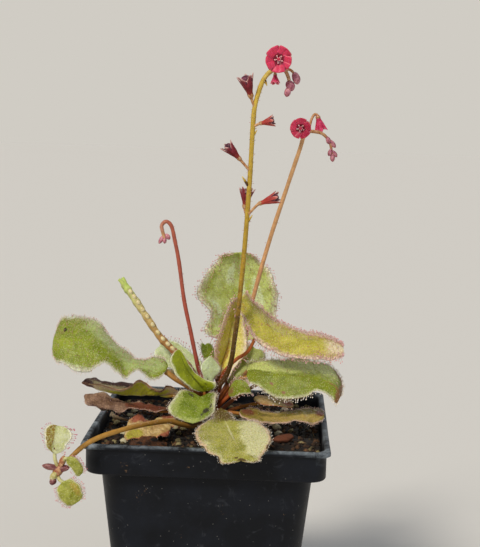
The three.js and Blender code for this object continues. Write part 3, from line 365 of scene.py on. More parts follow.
def blade_shell(sheet, leaf):
    """A closed blade with a thin rounded margin"""
    u, t = blade_grid(sheet, leaf["spacing"])
    middle = sheet["point"](u, t)
    ends = np.minimum(u, sheet["spans"] - u)
    rounded = np.sqrt(np.clip(1 - t ** 6, 0, 1))
    half = leaf["thick"] / 2 * rounded * np.sqrt(np.clip(ends / 0.12, 0, 1))
    out = sheet["normal"](u, t) * half[..., None]
    number = np.arange(u.size).reshape(u.shape)
    under = number.copy()
    inside = number[1:-1, 1:-1]
    under[1:-1, 1:-1] = u.size + np.arange(inside.size).reshape(inside.shape)

    def both_sides(upper, lower):
        """The upper side's values, then the lower side's without the margin they share"""
        each = upper.shape[2:]
        return np.concatenate([upper.reshape(-1, *each), lower[1:-1, 1:-1].reshape(-1, *each)])

    faces = []
    for above, below in zip(grid_faces(number), grid_faces(under)):
        faces += [above, [below[k] for k in (0, 3, 2, 1)]]
    marks = {
        "edge": np.abs(t),
        "blotch": spots(leaf["blotches"], u, t),
        "zone": spots(leaf["zones"], u, t),
    }
    values = {key: both_sides(value, value) for key, value in marks.items()}
    return both_sides(middle + out, middle - out), faces, values, 0


# Tentacle rows stand this share of the half width apart, and a margin is walked in so many steps
ROW_STEP = 0.07
MARGIN_STEPS = 500


def rim_points(sheet, fringe, random):
    """Roots, directions and lengths of the tentacles along a margin"""
    roots = []
    leans = []
    longs = []
    for side, first, rows, gap, long, *last in fringe:
        u = np.linspace(first, min([*last, sheet["spans"] - 0.02]), MARGIN_STEPS)
        for row in range(rows):
            line = sheet["point"](u, np.full(MARGIN_STEPS, side * (1 - ROW_STEP * row)))
            walked = np.append(0, np.linalg.norm(np.diff(line, axis=0), axis=1).cumsum())
            number = int(walked[-1] / gap)
            stations = (np.arange(number) + random.uniform(0.2, 0.8, number)) * gap
            at = np.interp(stations, walked, u)
            t = side * (1 - ROW_STEP * (row + random.uniform(0, 0.95, number)))
            here = sheet["point"](at, t)
            lift = random.uniform(-0.05, 0.5, number) + 0.45 * row
            direction = unit(here - sheet["point"](at, 0.75 * t))
            direction += sheet["normal"](at, t) * lift[:, None]
            direction += random.normal(0, 0.16, (number, 3))
            roots.append(here)
            leans.append(unit(direction))
            longs.append(long * random.uniform(0.6, 1.15, number) * (1 - 0.12 * row))
    return np.vstack(roots), np.vstack(leans), np.concatenate(longs)


NO_ROOTS = (np.zeros((0, 3)), np.zeros((0, 3)), np.zeros(0))


def bed_of(name, points, faces, grow, rooted=NO_ROOTS):
    """A bed for scattered items: faces they spread over and marked points they stand on"""
    roots, leans, longs = rooted
    mesh = bpy.data.meshes.new(name)
    mesh.from_pydata((np.vstack([points, roots]) * MM).tolist(), [], faces)
    bare = np.zeros(len(points))
    mark_points(mesh, {
        "grow": np.append(grow, 0 * longs),
        "rooted": np.append(bare, 0 * longs + 1),
        "long": np.append(bare, longs * MM),
    })
    layer = mesh.attributes.new("lean", "FLOAT_VECTOR", "POINT")
    lean = np.vstack([np.tile((0.0, 0, 1), (len(points), 1)), leans])
    layer.data.foreach_set("vector", lean.astype(np.float32).reshape(-1))
    return linked(name, mesh)


# Geometry Nodes: items on a bed, for tentacles, hairs and the crumbs of the peat
def scatter_tree():
    tree = bpy.data.node_groups.new("Items on a bed", "GeometryNodeTree")
    for name, kind in (
        ("Bed", "Geometry"), ("Item", "Object"), ("Face item", "Object"),
        ("Items per square metre", "Float"), ("Smallest", "Float"), ("Largest", "Float"),
        ("Wander", "Float"), ("Redness", "Float"), ("Seed", "Int"), ("Material", "Material"),
    ):
        tree.interface.new_socket(name, in_out="INPUT", socket_type="NodeSocket" + kind)
    tree.interface.new_socket("Items", in_out="OUTPUT", socket_type="NodeSocketGeometry")
    given = tree.nodes.new("NodeGroupInput").outputs
    item, small = (add(tree, "GeometryNodeObjectInfo", {"Object": given[name]}, out="Geometry")
                   for name in ("Item", "Face item"))
    rooted, long, grow, lean = (
        add(tree, "GeometryNodeInputNamedAttribute", {"Name": name}, data_type=kind)
        for name, kind in (
            ("rooted", "FLOAT"), ("long", "FLOAT"), ("grow", "FLOAT"), ("lean", "FLOAT_VECTOR"),
        ))
    marked = add(tree, "FunctionNodeCompare", {0: rooted, 1: 0.5}, data_type="FLOAT")
    turned = add(tree, "FunctionNodeAlignRotationToVector", {"Vector": lean}, axis="Z")
    standing = add(tree, "GeometryNodeInstanceOnPoints", {
        "Points": given["Bed"], "Selection": marked, "Instance": item,
        "Rotation": turned, "Scale": long,
    })
    density = add(tree, "ShaderNodeMath", {0: grow, 1: given["Items per square metre"]},
                  operation="MULTIPLY")
    spread = add(tree, "GeometryNodeDistributePointsOnFaces", {
        "Mesh": given["Bed"], "Density": density, "Seed": given["Seed"],
    }, distribute_method="RANDOM")
    stray = add(tree, "FunctionNodeRandomValue", {
        0: (-1, -1, -1), 1: (1, 1, 1), "Seed": given["Seed"],
    }, data_type="FLOAT_VECTOR")
    strayed = add(tree, "ShaderNodeVectorMath", {0: stray, "Scale": given["Wander"]},
                  operation="SCALE")
    upright = add(tree, "ShaderNodeVectorMath", {0: spread.node.outputs["Normal"], 1: strayed},
                  operation="ADD")
    facing = add(tree, "FunctionNodeAlignRotationToVector", {"Vector": upright}, axis="Z")
    size = add(tree, "FunctionNodeRandomValue", {
        2: given["Smallest"], 3: given["Largest"], "Seed": given["Seed"],
    }, out=1, data_type="FLOAT")
    scattered = add(tree, "GeometryNodeInstanceOnPoints", {
        "Points": spread, "Instance": small, "Rotation": facing, "Scale": size,
    })
    joined = add(tree, "GeometryNodeJoinGeometry", {0: standing})
    tree.links.new(scattered, joined.node.inputs[0])
    tint = add(tree, "FunctionNodeRandomValue", {2: 0.0, 3: 1.0, "Seed": given["Seed"]},
               out=1, data_type="FLOAT")
    redder = add(tree, "ShaderNodeMath", {0: tint, 1: given["Redness"]}, operation="ADD")
    stored = add(tree, "GeometryNodeStoreNamedAttribute", {
        "Geometry": joined, "Name": "tint", "Value": redder,
    }, data_type="FLOAT", domain="INSTANCE")
    real = add(tree, "GeometryNodeRealizeInstances", {"Geometry": stored})
    dressed = add(tree, "GeometryNodeSetMaterial", {
        "Geometry": real, "Material": given["Material"],
    })
    add(tree, "NodeGroupOutput", {"Items": dressed})
    return tree


SCATTER = scatter_tree()


def scatter(name, bed, item, material, per_mm2, sizes, wander, redness, seed, rooted=None):
    """The items of one bed as a plain mesh; the bed is then taken away"""
    values = {
        "Item": rooted or item,
        "Face item": item,
        "Items per square metre": per_mm2 / MM / MM,
        "Smallest": sizes[0] * MM,
        "Largest": sizes[1] * MM,
        "Wander": float(wander),
        "Redness": float(redness),
        "Seed": seed,
        "Material": material,
    }
    grower = bed.modifiers.new("Items", "NODES")
    grower.node_group = SCATTER
    for socket in SCATTER.interface.items_tree:
        if socket.name in values:
            grower[socket.identifier] = values[socket.name]
    mesh = finished_mesh(bed)
    mesh.name = name
    for key in ("rooted", "long", "lean", "grow"):
        if key in mesh.attributes:
            mesh.attributes.remove(mesh.attributes[key])
    old = bed.data
    bpy.data.objects.remove(bed)
    bpy.data.meshes.remove(old)
    mesh.polygons.foreach_set("use_smooth", [True] * len(mesh.polygons))
    return linked(name, mesh)


# Items to scatter
def item_of(name, shells):
    """An item a unit tall in its own mesh, so that its scale is its size in metres"""
    item = mesh_of(name, shells)
    item.data.transform(Matrix.Scale(1 / MM, 4))
    return item


def item_shell(sides, profile):
    """A round shell from rows of height, radius, bend and "up", which is 0 to 1 along it"""
    angle = turn_of(sides)
    rings = [level_ring(angle, radius, radius, high) + (bend, 0, 0)
             for high, radius, bend, _ in profile]
    return ring_shell(rings, {"up": np.array([row[3] for row in profile])[:, None]})


def drop_row(v, up):
    """A row of the drop of dew that sits on a tentacle's end"""
    return 0.98 - 0.15 * math.cos(v * math.pi), 0.15 * math.sin(v * math.pi), 0.06, up


def crumb_item(name, stretch, rough):
    """An uneven lump a unit across"""
    rings = []
    for v in (0.16, 0.42, 0.7, 0.9):
        radius = 0.5 * math.sin(v * math.pi)
        ring = level_ring(turn_of(6) + v * 2, radius, radius, -0.5 * math.cos(v * math.pi))
        rings.append(ring * (1 + rough * noise(ring * 3, 1, 5))[:, None] * stretch)
    points, faces, _, _ = ring_shell(rings)
    return item_of(name, [(points, faces, {}, 0)])


TENTACLE_ITEM = item_of("tentacle_item", [
    item_shell(4, ((-0.12, 0.055, 0, 0), (0.45, 0.035, 0.03, 0.45), (0.9, 0.028, 0.06, 0.8))),
    item_shell(6, (drop_row(0.12, 0.9), drop_row(0.5, 1), drop_row(0.88, 1))),
])
SHORT_HAIR = item_of("short_hair_item", [item_shell(3, (
    (-0.15, 0.1, 0, 0), (0.6, 0.05, 0, 0.6), (0.66, 0.15, 0, 0.9), (0.95, 0.15, 0, 1),
    (1.05, 0.04, 0, 1),
))])
CRUMB = crumb_item("crumb_item", (1.1, 0.9, 0.8), 0.5)
PEBBLE = crumb_item("pebble_item", (1.0, 0.85, 0.75), 0.25)
FIBRE = item_of("fibre_item", [tube(
    [(-0.5, 0, 0), (-0.1, 0.12, 0.05), (0.2, -0.05, 0.1), (0.5, 0.1, 0)], (0.03, 0.045, 0.02), 4, 2)])
ITEMS = (TENTACLE_ITEM, SHORT_HAIR, CRUMB, PEBBLE, FIBRE)


# Materials. Colours are sRGB hex, and every pattern is sized in millimetres. A leaf's cells
# and stalkless glands are 0.05 to 0.2 mm across, too fine for the render, so their patterns
# are drawn 0.4 to 0.9 mm wide to show.
def new_tree(name):
    """A material with nothing in its node tree yet"""
    material = bpy.data.materials.new(name)
    material.use_nodes = True
    material.node_tree.nodes.clear()
    return material, material.node_tree


def surfaced(material, colour, inputs, coats=(), dim=None, relief=None):
    """The material made up: a colour under coats of others, each laid on where its mark says.
    dim is (grain, darkest, lightest) and relief is (height, strength, depth in millimetres)."""
    tree = material.node_tree
    for mark, code in coats:
        colour = add(tree, "ShaderNodeMix", {0: mark, 6: colour, 7: code}, out=2, data_type="RGBA")
    if dim:
        grain, dark, light = dim
        share = add(tree, "ShaderNodeMapRange", {0: grain, 1: 0.3, 2: 0.7, 3: dark, 4: light})
        colour = add(tree, "ShaderNodeVectorMath", {0: colour, "Scale": share}, operation="SCALE")
    inputs["Base Color"] = colour
    if relief:
        height, strength, depth = relief
        inputs["Normal"] = add(tree, "ShaderNodeBump", {
            "Height": height, "Strength": strength, "Distance": depth * MM,
        })
    shader = add(tree, "ShaderNodeBsdfPrincipled", inputs)
    add(tree, "ShaderNodeOutputMaterial", {"Surface": shader})
    return material


def torn(tree, mark, grain, amount, low, high):
    """A smooth mark broken up by a grain, so that its outline is ragged"""
    rough = add(tree, "ShaderNodeMath", {0: grain, 1: amount, 2: mark}, operation="MULTIPLY_ADD")
    return add(tree, "ShaderNodeMapRange", {0: rough, 1: low, 2: high})


def dotted(tree, where, apart, low, high, amount):
    """A mark of round dots so many millimetres apart"""
    far = add(tree, "ShaderNodeTexVoronoi", {"Vector": where, "Scale": 1 / (apart * MM)},
              out="Distance", feature="F1")
    return add(tree, "ShaderNodeMapRange", {0: far, 1: low, 2: high, 3: amount, 4: 0.0})


def coloured(ramp, stops):
    """A ramp given its colours at their places"""
    elements = ramp.node.color_ramp.elements
    while len(elements) < len(stops):
        elements.new(0.5)
    for element, (at, code) in zip(elements, stops):
        element.position = at
        element.color = linear(code)
    return ramp


# Millimetres across the fine grain of tissue, and between its glands' dots and its specks
FINE_GRAIN = 0.6
GLAND_DOTS = 0.42
SPECKS = 0.85


def plant_skin(name, deep, fresh, lump=4.0, edge=None, zone=None, blotch=None, speck=None,
               vein=None, dots=None, band=6.0, cell=0.9, rough=0.5, relief=0.14, thin=0.2):
    """Living or withered plant tissue: mottled, with a margin, patches, specks and veins"""
    material, tree = new_tree(name)
    where = add(tree, "ShaderNodeTexCoord", out="Object")
    mottle, fine = (add(tree, "ShaderNodeTexNoise", {
        "Vector": where, "Scale": 1 / (size * MM), "Detail": detail, "Roughness": broken,
    }) for size, detail, broken in ((lump, 5.0, 0.62), (FINE_GRAIN, 4.0, 0.65)))
    cells = add(tree, "ShaderNodeTexVoronoi", {"Vector": where, "Scale": 1 / (cell * MM)},
                feature="DISTANCE_TO_EDGE")
    share = add(tree, "ShaderNodeMapRange", {0: mottle, 1: 0.38, 2: 0.62})
    coats = [(share, fresh)]
    if zone:
        mark = add(tree, "ShaderNodeAttribute", out="Fac", attribute_name="zone")
        grain = add(tree, "ShaderNodeMath", {0: fine, 1: 0.9, 2: mottle}, operation="MULTIPLY_ADD")
        coats.append((torn(tree, mark, grain, 1.0, 1.25, 1.6), zone))
    if vein:
        mark = add(tree, "ShaderNodeMapRange", {0: cells, 1: 0.0, 2: 0.14, 3: 0.55, 4: 0.0})
        coats.append((mark, vein))
    if dots:
        coats.append((dotted(tree, where, GLAND_DOTS, 0.12, 0.34, 0.7), dots))
    if edge:
        mark = add(tree, "ShaderNodeAttribute", out="Fac", attribute_name="edge")
        mark = add(tree, "ShaderNodeMath", {0: mark, 1: band}, operation="POWER")
        coats.append((torn(tree, mark, fine, 0.7, 0.7, 1.15), edge))
    if speck:
        mark = dotted(tree, where, SPECKS, 0.1, 0.3, 0.8)
        mark = add(tree, "ShaderNodeMath", {0: mark, 1: share}, operation="MULTIPLY")
        coats.append((mark, speck))
    if blotch:
        mark = add(tree, "ShaderNodeAttribute", out="Fac", attribute_name="blotch")
        coats.append((torn(tree, mark, fine, 1.2, 0.95, 1.3), blotch))
    height = add(tree, "ShaderNodeMath", {0: fine, 1: 0.8, 2: cells}, operation="MULTIPLY_ADD")
    gloss = add(tree, "ShaderNodeMapRange", {0: fine, 1: 0.3, 2: 0.7, 3: rough - 0.1, 4: rough + 0.12})
    return surfaced(material, deep, {
        "Roughness": gloss, "Specular IOR Level": 0.35, "Subsurface Weight": thin,
        "Subsurface Scale": 0.6 * MM, "Subsurface Radius": (0.9, 1.0, 0.2),
    }, coats, (fine, 0.84, 1.14), (height, 0.8, relief))


def along_skin(name, stops, rough=0.5, relief=0.06, coat=0.0):
    """Stem tissue whose colour changes from root to tip, with a fine grain"""
    material, tree = new_tree(name)
    along = add(tree, "ShaderNodeAttribute", out="Fac", attribute_name="along")
    where = add(tree, "ShaderNodeTexCoord", out="Object")
    grain = add(tree, "ShaderNodeTexNoise", {
        "Vector": where, "Scale": 1 / (1.6 * MM), "Detail": 4.0, "Roughness": 0.65,
    })
    moved = add(tree, "ShaderNodeMapRange", {0: grain, 1: 0.3, 2: 0.7, 3: -0.05, 4: 0.05})
    at = add(tree, "ShaderNodeMath", {0: along, 1: moved}, operation="ADD", use_clamp=True)
    colour = coloured(add(tree, "ShaderNodeValToRGB", {"Fac": at}), stops)
    return surfaced(material, colour, {
        "Roughness": rough, "Specular IOR Level": 0.3, "Subsurface Weight": 0.12,
        "Subsurface Scale": 0.5 * MM, "Subsurface Radius": (1.0, 0.7, 0.4),
        "Coat Weight": coat, "Coat Roughness": 0.2,
    }, dim=(grain, 0.82, 1.12), relief=(grain, 0.6, relief))


def tentacle_skin():
    """Gland hairs: a clear pale stalk, a pink to red gland, and a glossy drop of dew over it"""
    material, tree = new_tree("tentacle with dew")
    up, tint = (add(tree, "ShaderNodeAttribute", out="Fac", attribute_name=name)
                for name in ("up", "tint"))
    gland = coloured(add(tree, "ShaderNodeValToRGB", {"Fac": tint}), (
        (0.0, "#f8f1e2"), (0.3, "#f2d8cc"), (0.62, "#e0a8aa"), (0.88, "#c4607c"), (1.0, "#a83c5c"),
    ))
    top = add(tree, "ShaderNodeMapRange", {0: up, 1: 0.8, 2: 0.9})
    gloss = add(tree, "ShaderNodeMapRange", {0: top, 1: 0.0, 2: 1.0, 3: 0.5, 4: 0.12})
    return surfaced(material, "#a89a5c", {
        "Roughness": gloss, "IOR": 1.36, "Subsurface Weight": 0.3,
        "Subsurface Scale": 0.4 * MM, "Subsurface Radius": (1.0, 0.8, 0.6),
    }, ((up, "#cc9c8c"), (top, gland)))


def crumb_skin(name, stops, rough=0.9):
    """Loose bits of many colours: each bit takes its own from its tint"""
    material, tree = new_tree(name)
    tint = add(tree, "ShaderNodeAttribute", out="Fac", attribute_name="tint")
    where = add(tree, "ShaderNodeTexCoord", out="Object")
    fine = add(tree, "ShaderNodeTexNoise", {
        "Vector": where, "Scale": 1 / (0.4 * MM), "Detail": 4.0, "Roughness": 0.7,
    })
    colour = coloured(add(tree, "ShaderNodeValToRGB", {"Fac": tint}), stops)
    return surfaced(material, colour, {"Roughness": rough}, dim=(fine, 0.6, 1.25),
                    relief=(fine, 0.8, 0.15))


def peat_skin():
    """Damp peat: near black, crumbly, with brown fibres"""
    material, tree = new_tree("damp peat")
    where = add(tree, "ShaderNodeTexCoord", out="Object")
    lumps = add(tree, "ShaderNodeTexNoise", {
        "Vector": where, "Scale": 1 / (2.2 * MM), "Detail": 8.0, "Roughness": 0.75,
    })
    colour = coloured(add(tree, "ShaderNodeValToRGB", {"Fac": lumps}), (
        (0.3, "#080605"), (0.5, "#17100b"), (0.62, "#2a1d14"), (0.75, "#4a3726"),
    ))
    return surfaced(material, colour, {"Roughness": 0.88}, relief=(lumps, 1.0, 0.7))


def pot_skin():
    """Black moulded polypropylene: satin, with dried smudges, specks of earth, worn edges and a painted
    highlight along the lip
    """
    material, tree = new_tree("black moulded polypropylene")
    where = add(tree, "ShaderNodeTexCoord", out="Object")
    broad, cloud, fine, crumbs, patch = (add(tree, "ShaderNodeTexNoise", {
        "Vector": where, "Scale": 1 / (size * MM), "Detail": detail, "Roughness": broken,
        "Distortion": bent,
    }) for size, detail, broken, bent in (
        (14, 5.0, 0.6, 0.0), (4.5, 8.0, 0.72, 0.7), (0.35, 3.0, 0.6, 0.0), (1.5, 7.0, 0.85, 0.0),
        (8, 3.0, 0.6, 0.0),
    ))
    patch = add(tree, "ShaderNodeMapRange", {0: patch, 1: 0.52, 2: 0.68, 3: 0.0, 4: 0.16})
    earth = add(tree, "ShaderNodeMath", {0: crumbs, 1: patch}, operation="ADD")
    haze, smudge, earth, wear_and_lip_highlight, gloss = (
        add(tree, "ShaderNodeMapRange", {0: mark, 1: low, 2: high, 3: least, 4: most})
        for mark, low, high, least, most in (
            (broad, 0.42, 0.7, 0.0, 0.7), (cloud, 0.57, 0.74, 0.0, 0.45),
            (earth, 0.74, 0.8, 0.0, 0.85), (cloud, 0.4, 0.62, 0.0, 1.0),
            (broad, 0.35, 0.7, 0.36, 0.6),
        ))
    # This mark lays pale grey where the lip is worn, and along its top as a painted highlight
    scuff = add(tree, "ShaderNodeAttribute", out="Fac", attribute_name="scuff")
    scuff = add(tree, "ShaderNodeMath", {0: scuff, 1: wear_and_lip_highlight}, operation="MULTIPLY", use_clamp=True)
    dots = dotted(tree, where, 1.9, 0.03, 0.07, 0.8)
    return surfaced(material, "#0a0d13", {
        "Roughness": gloss, "IOR": 1.49, "Specular IOR Level": 0.2,
    }, (
        (haze, "#191d26"), (smudge, "#484b52"), (earth, "#86684a"), (dots, "#8e8c86"),
        (scuff, "#949fa8"),
    ), relief=(fine, 0.35, 0.05))


SKINS = {
    # Young tissue is moist, thin and lets light through; old tissue is dull and dry
    "yellow": plant_skin("bright yellow-green leaf", "#a29a28", "#c8c052", edge="#e6d2c0",
                         speck="#bc6a58", vein="#b0a838", dots="#e0d898", zone="#dccdb0",
                         blotch="#b58a34", band=4.0, thin=0.3),
    "trough": plant_skin("ochre channelled leaf", "#d4ca4c", "#ece488", edge="#f2e0cc",
                         zone="#b58a34", vein="#c6ba48", dots="#ece4ac", speck="#c8866a",
                         blotch="#7a4618", band=3.0, thin=0.65),
    # Its pale zone colour is partly the tissue's own and partly painted light on the upper half of
    # leaf_right_green
    "green": plant_skin("green leaf", "#636f06", "#828e1a", edge="#ced0a8", zone="#c6d07c",
                        vein="#7d8a18", dots="#ced496", blotch="#86603a", speck="#8a6a30"),
    "large": plant_skin("soft green leaf", "#707e08", "#919e20", edge="#d6d8c2",
                        zone="#a6b670", vein="#88941a", dots="#dde2ae", blotch="#2f2c12",
                        speck="#b99a6a", thin=0.3),
    # Its zone colour is the painted sheen of the pale streaks on leaf_back_upright
    "pale": plant_skin("pale green leaf", "#a4b048", "#c4d084", edge="#dcdcc0",
                       zone="#ccd8aa", vein="#aab054", dots="#d6dcb0", blotch="#a8743c"),
    "mint": plant_skin("mint green leaf", "#b3c084", "#ccd8ac", edge="#eef2e2",
                       vein="#bac790", dots="#e2e8ce", blotch="#54603c"),
    "lime": plant_skin("saturated lime leaf", "#6c7602", "#909a0c", edge="#e6e8c2",
                       vein="#7e860c", zone="#585e04", blotch="#3a3c0a", thin=0.3),
    "round": plant_skin("round green leaf", "#5e7004", "#829222", edge="#dadcb8",
                        zone="#a3ae58", vein="#748416", dots="#ccd498", blotch="#3c3826"),
    # Its blotch colour marks dark spots and the notch, and at the base of leaf_front_rim also painted
    # shade
    "rim": plant_skin("hairy pale leaf", "#85882a", "#b0ae52", edge="#d8b898", band=8.0,
                      zone="#d2d2a0", vein="#b2a63c", dots="#dedab4", blotch="#5a4316",
                      speck="#4e4c1e", cell=0.7, relief=0.3),
    "olive": plant_skin("olive leaf", "#695d1a", "#908034", edge="#d8b4a0",
                        vein="#7c6e24", dots="#b8a864", blotch="#6a3422", zone="#ac9450"),
    # Its cream and yellow are painted lighter than the tissue, as painted light where it lies in the
    # shade of the large leaf
    "folded": plant_skin("half withered leaf", "#bca07a", "#ecd8ae", edge="#b0805e",
                         zone="#cac636", vein="#b0946a", blotch="#5c2816", rough=0.55, thin=0.5),
    "dry": plant_skin("dry crumpled leaf", "#664833", "#a7866e", edge="#c4a490",
                      zone="#6e3822", vein="#5a3c2c", blotch="#402418", rough=0.65,
                      relief=0.4, thin=0.08),
    "dying": plant_skin("dying leaf", "#b08c54", "#dcc48c", edge="#b46c54", zone="#b0a83a",
                        vein="#94703c", blotch="#a05c42", rough=0.55, relief=0.3),
    "rotten": plant_skin("rotten leaf", "#1c0d06", "#6e401c", edge="#a8743e",
                         vein="#1c0c06", blotch="#120804", rough=0.6, relief=0.4, thin=0.05),
    "young": plant_skin("plantlet leaf", "#a9ad6c", "#c9cca6", edge="#ecebd6",
                        zone="#866c16", vein="#b8bc72", dots="#e2e2c2", blotch="#5c2c1e",
                        lump=2.0),
    "young_green": plant_skin("plantlet green leaf", "#7c8018", "#aaac50", edge="#e2e0bc",
                              zone="#a8923a", vein="#989c34", dots="#d6d69c", lump=2.0),
}
STALKS = {
    # A stalk is a smooth round stem, red-brown at the crown and as green as its leaf above
    "brown": along_skin("leaf stalk", (
        (0.0, "#6e3418"), (0.25, "#94511f"), (0.5, "#a3762a"), (0.8, "#9c9030"), (1.0, "#96983a"),
    )),
    "red": along_skin("reddish leaf stalk", (
        (0.0, "#5a2a14"), (0.3, "#94461f"), (0.6, "#b5622c"), (0.85, "#b58c3a"), (1.0, "#b5a53a"),
    )),
    "tan": along_skin("broad tan leaf stalk", (
        (0.0, "#7c3c1a"), (0.3, "#a8692e"), (0.6, "#b58a4a"), (0.85, "#a89a4a"), (1.0, "#98a04a"),
    )),
    "cream": along_skin("plantlet leaf stalk", (
        (0.0, "#b9a868"), (0.4, "#ccce98"), (1.0, "#ccd4a6"),
    )),
}
TENTACLE = tentacle_skin()


# Leaves. Each has the points of its stalk, of its midrib as spine and of its margins, and the
# stations (join) where the stalk runs on under the midrib. Above 1, base and tip are drawn
# to a point. wave is the number of waves along the margin, their height and their start;
# crinkle is the relief near the margin and quilt that between the veins. Each entry of fringe
# is (t of its first row, first station, rows, gap, length), with a last station where it ends
# early. hairs is their number on a square millimetre of the face, and redness moves the colour
# of the glands. zones and blotches are patches (u, t, reach in u, reach in t, amount).
def both(*row):
    """The same fringe for both margins"""
    return (-1, *row), (1, *row)


# What a leaf has unless its own entry says otherwise
PLAIN_LEAF = dict(
    base=1, tip=1, wave=(0, 0, 0), crinkle=0.22, quilt=0.07, camber=0.05, thick=0.45, spacing=0.45,
    stalk=(), join=(0.5, 1.1, 1.8), stalk_radius=(0.75, 0.55), stalk_skin="brown",
    zones=(), blotches=(), fringe=both(0.15, 1, 1.0, 1.4), hairs=0.6, hair_size=(0.3, 0.6),
    redness=0,
)

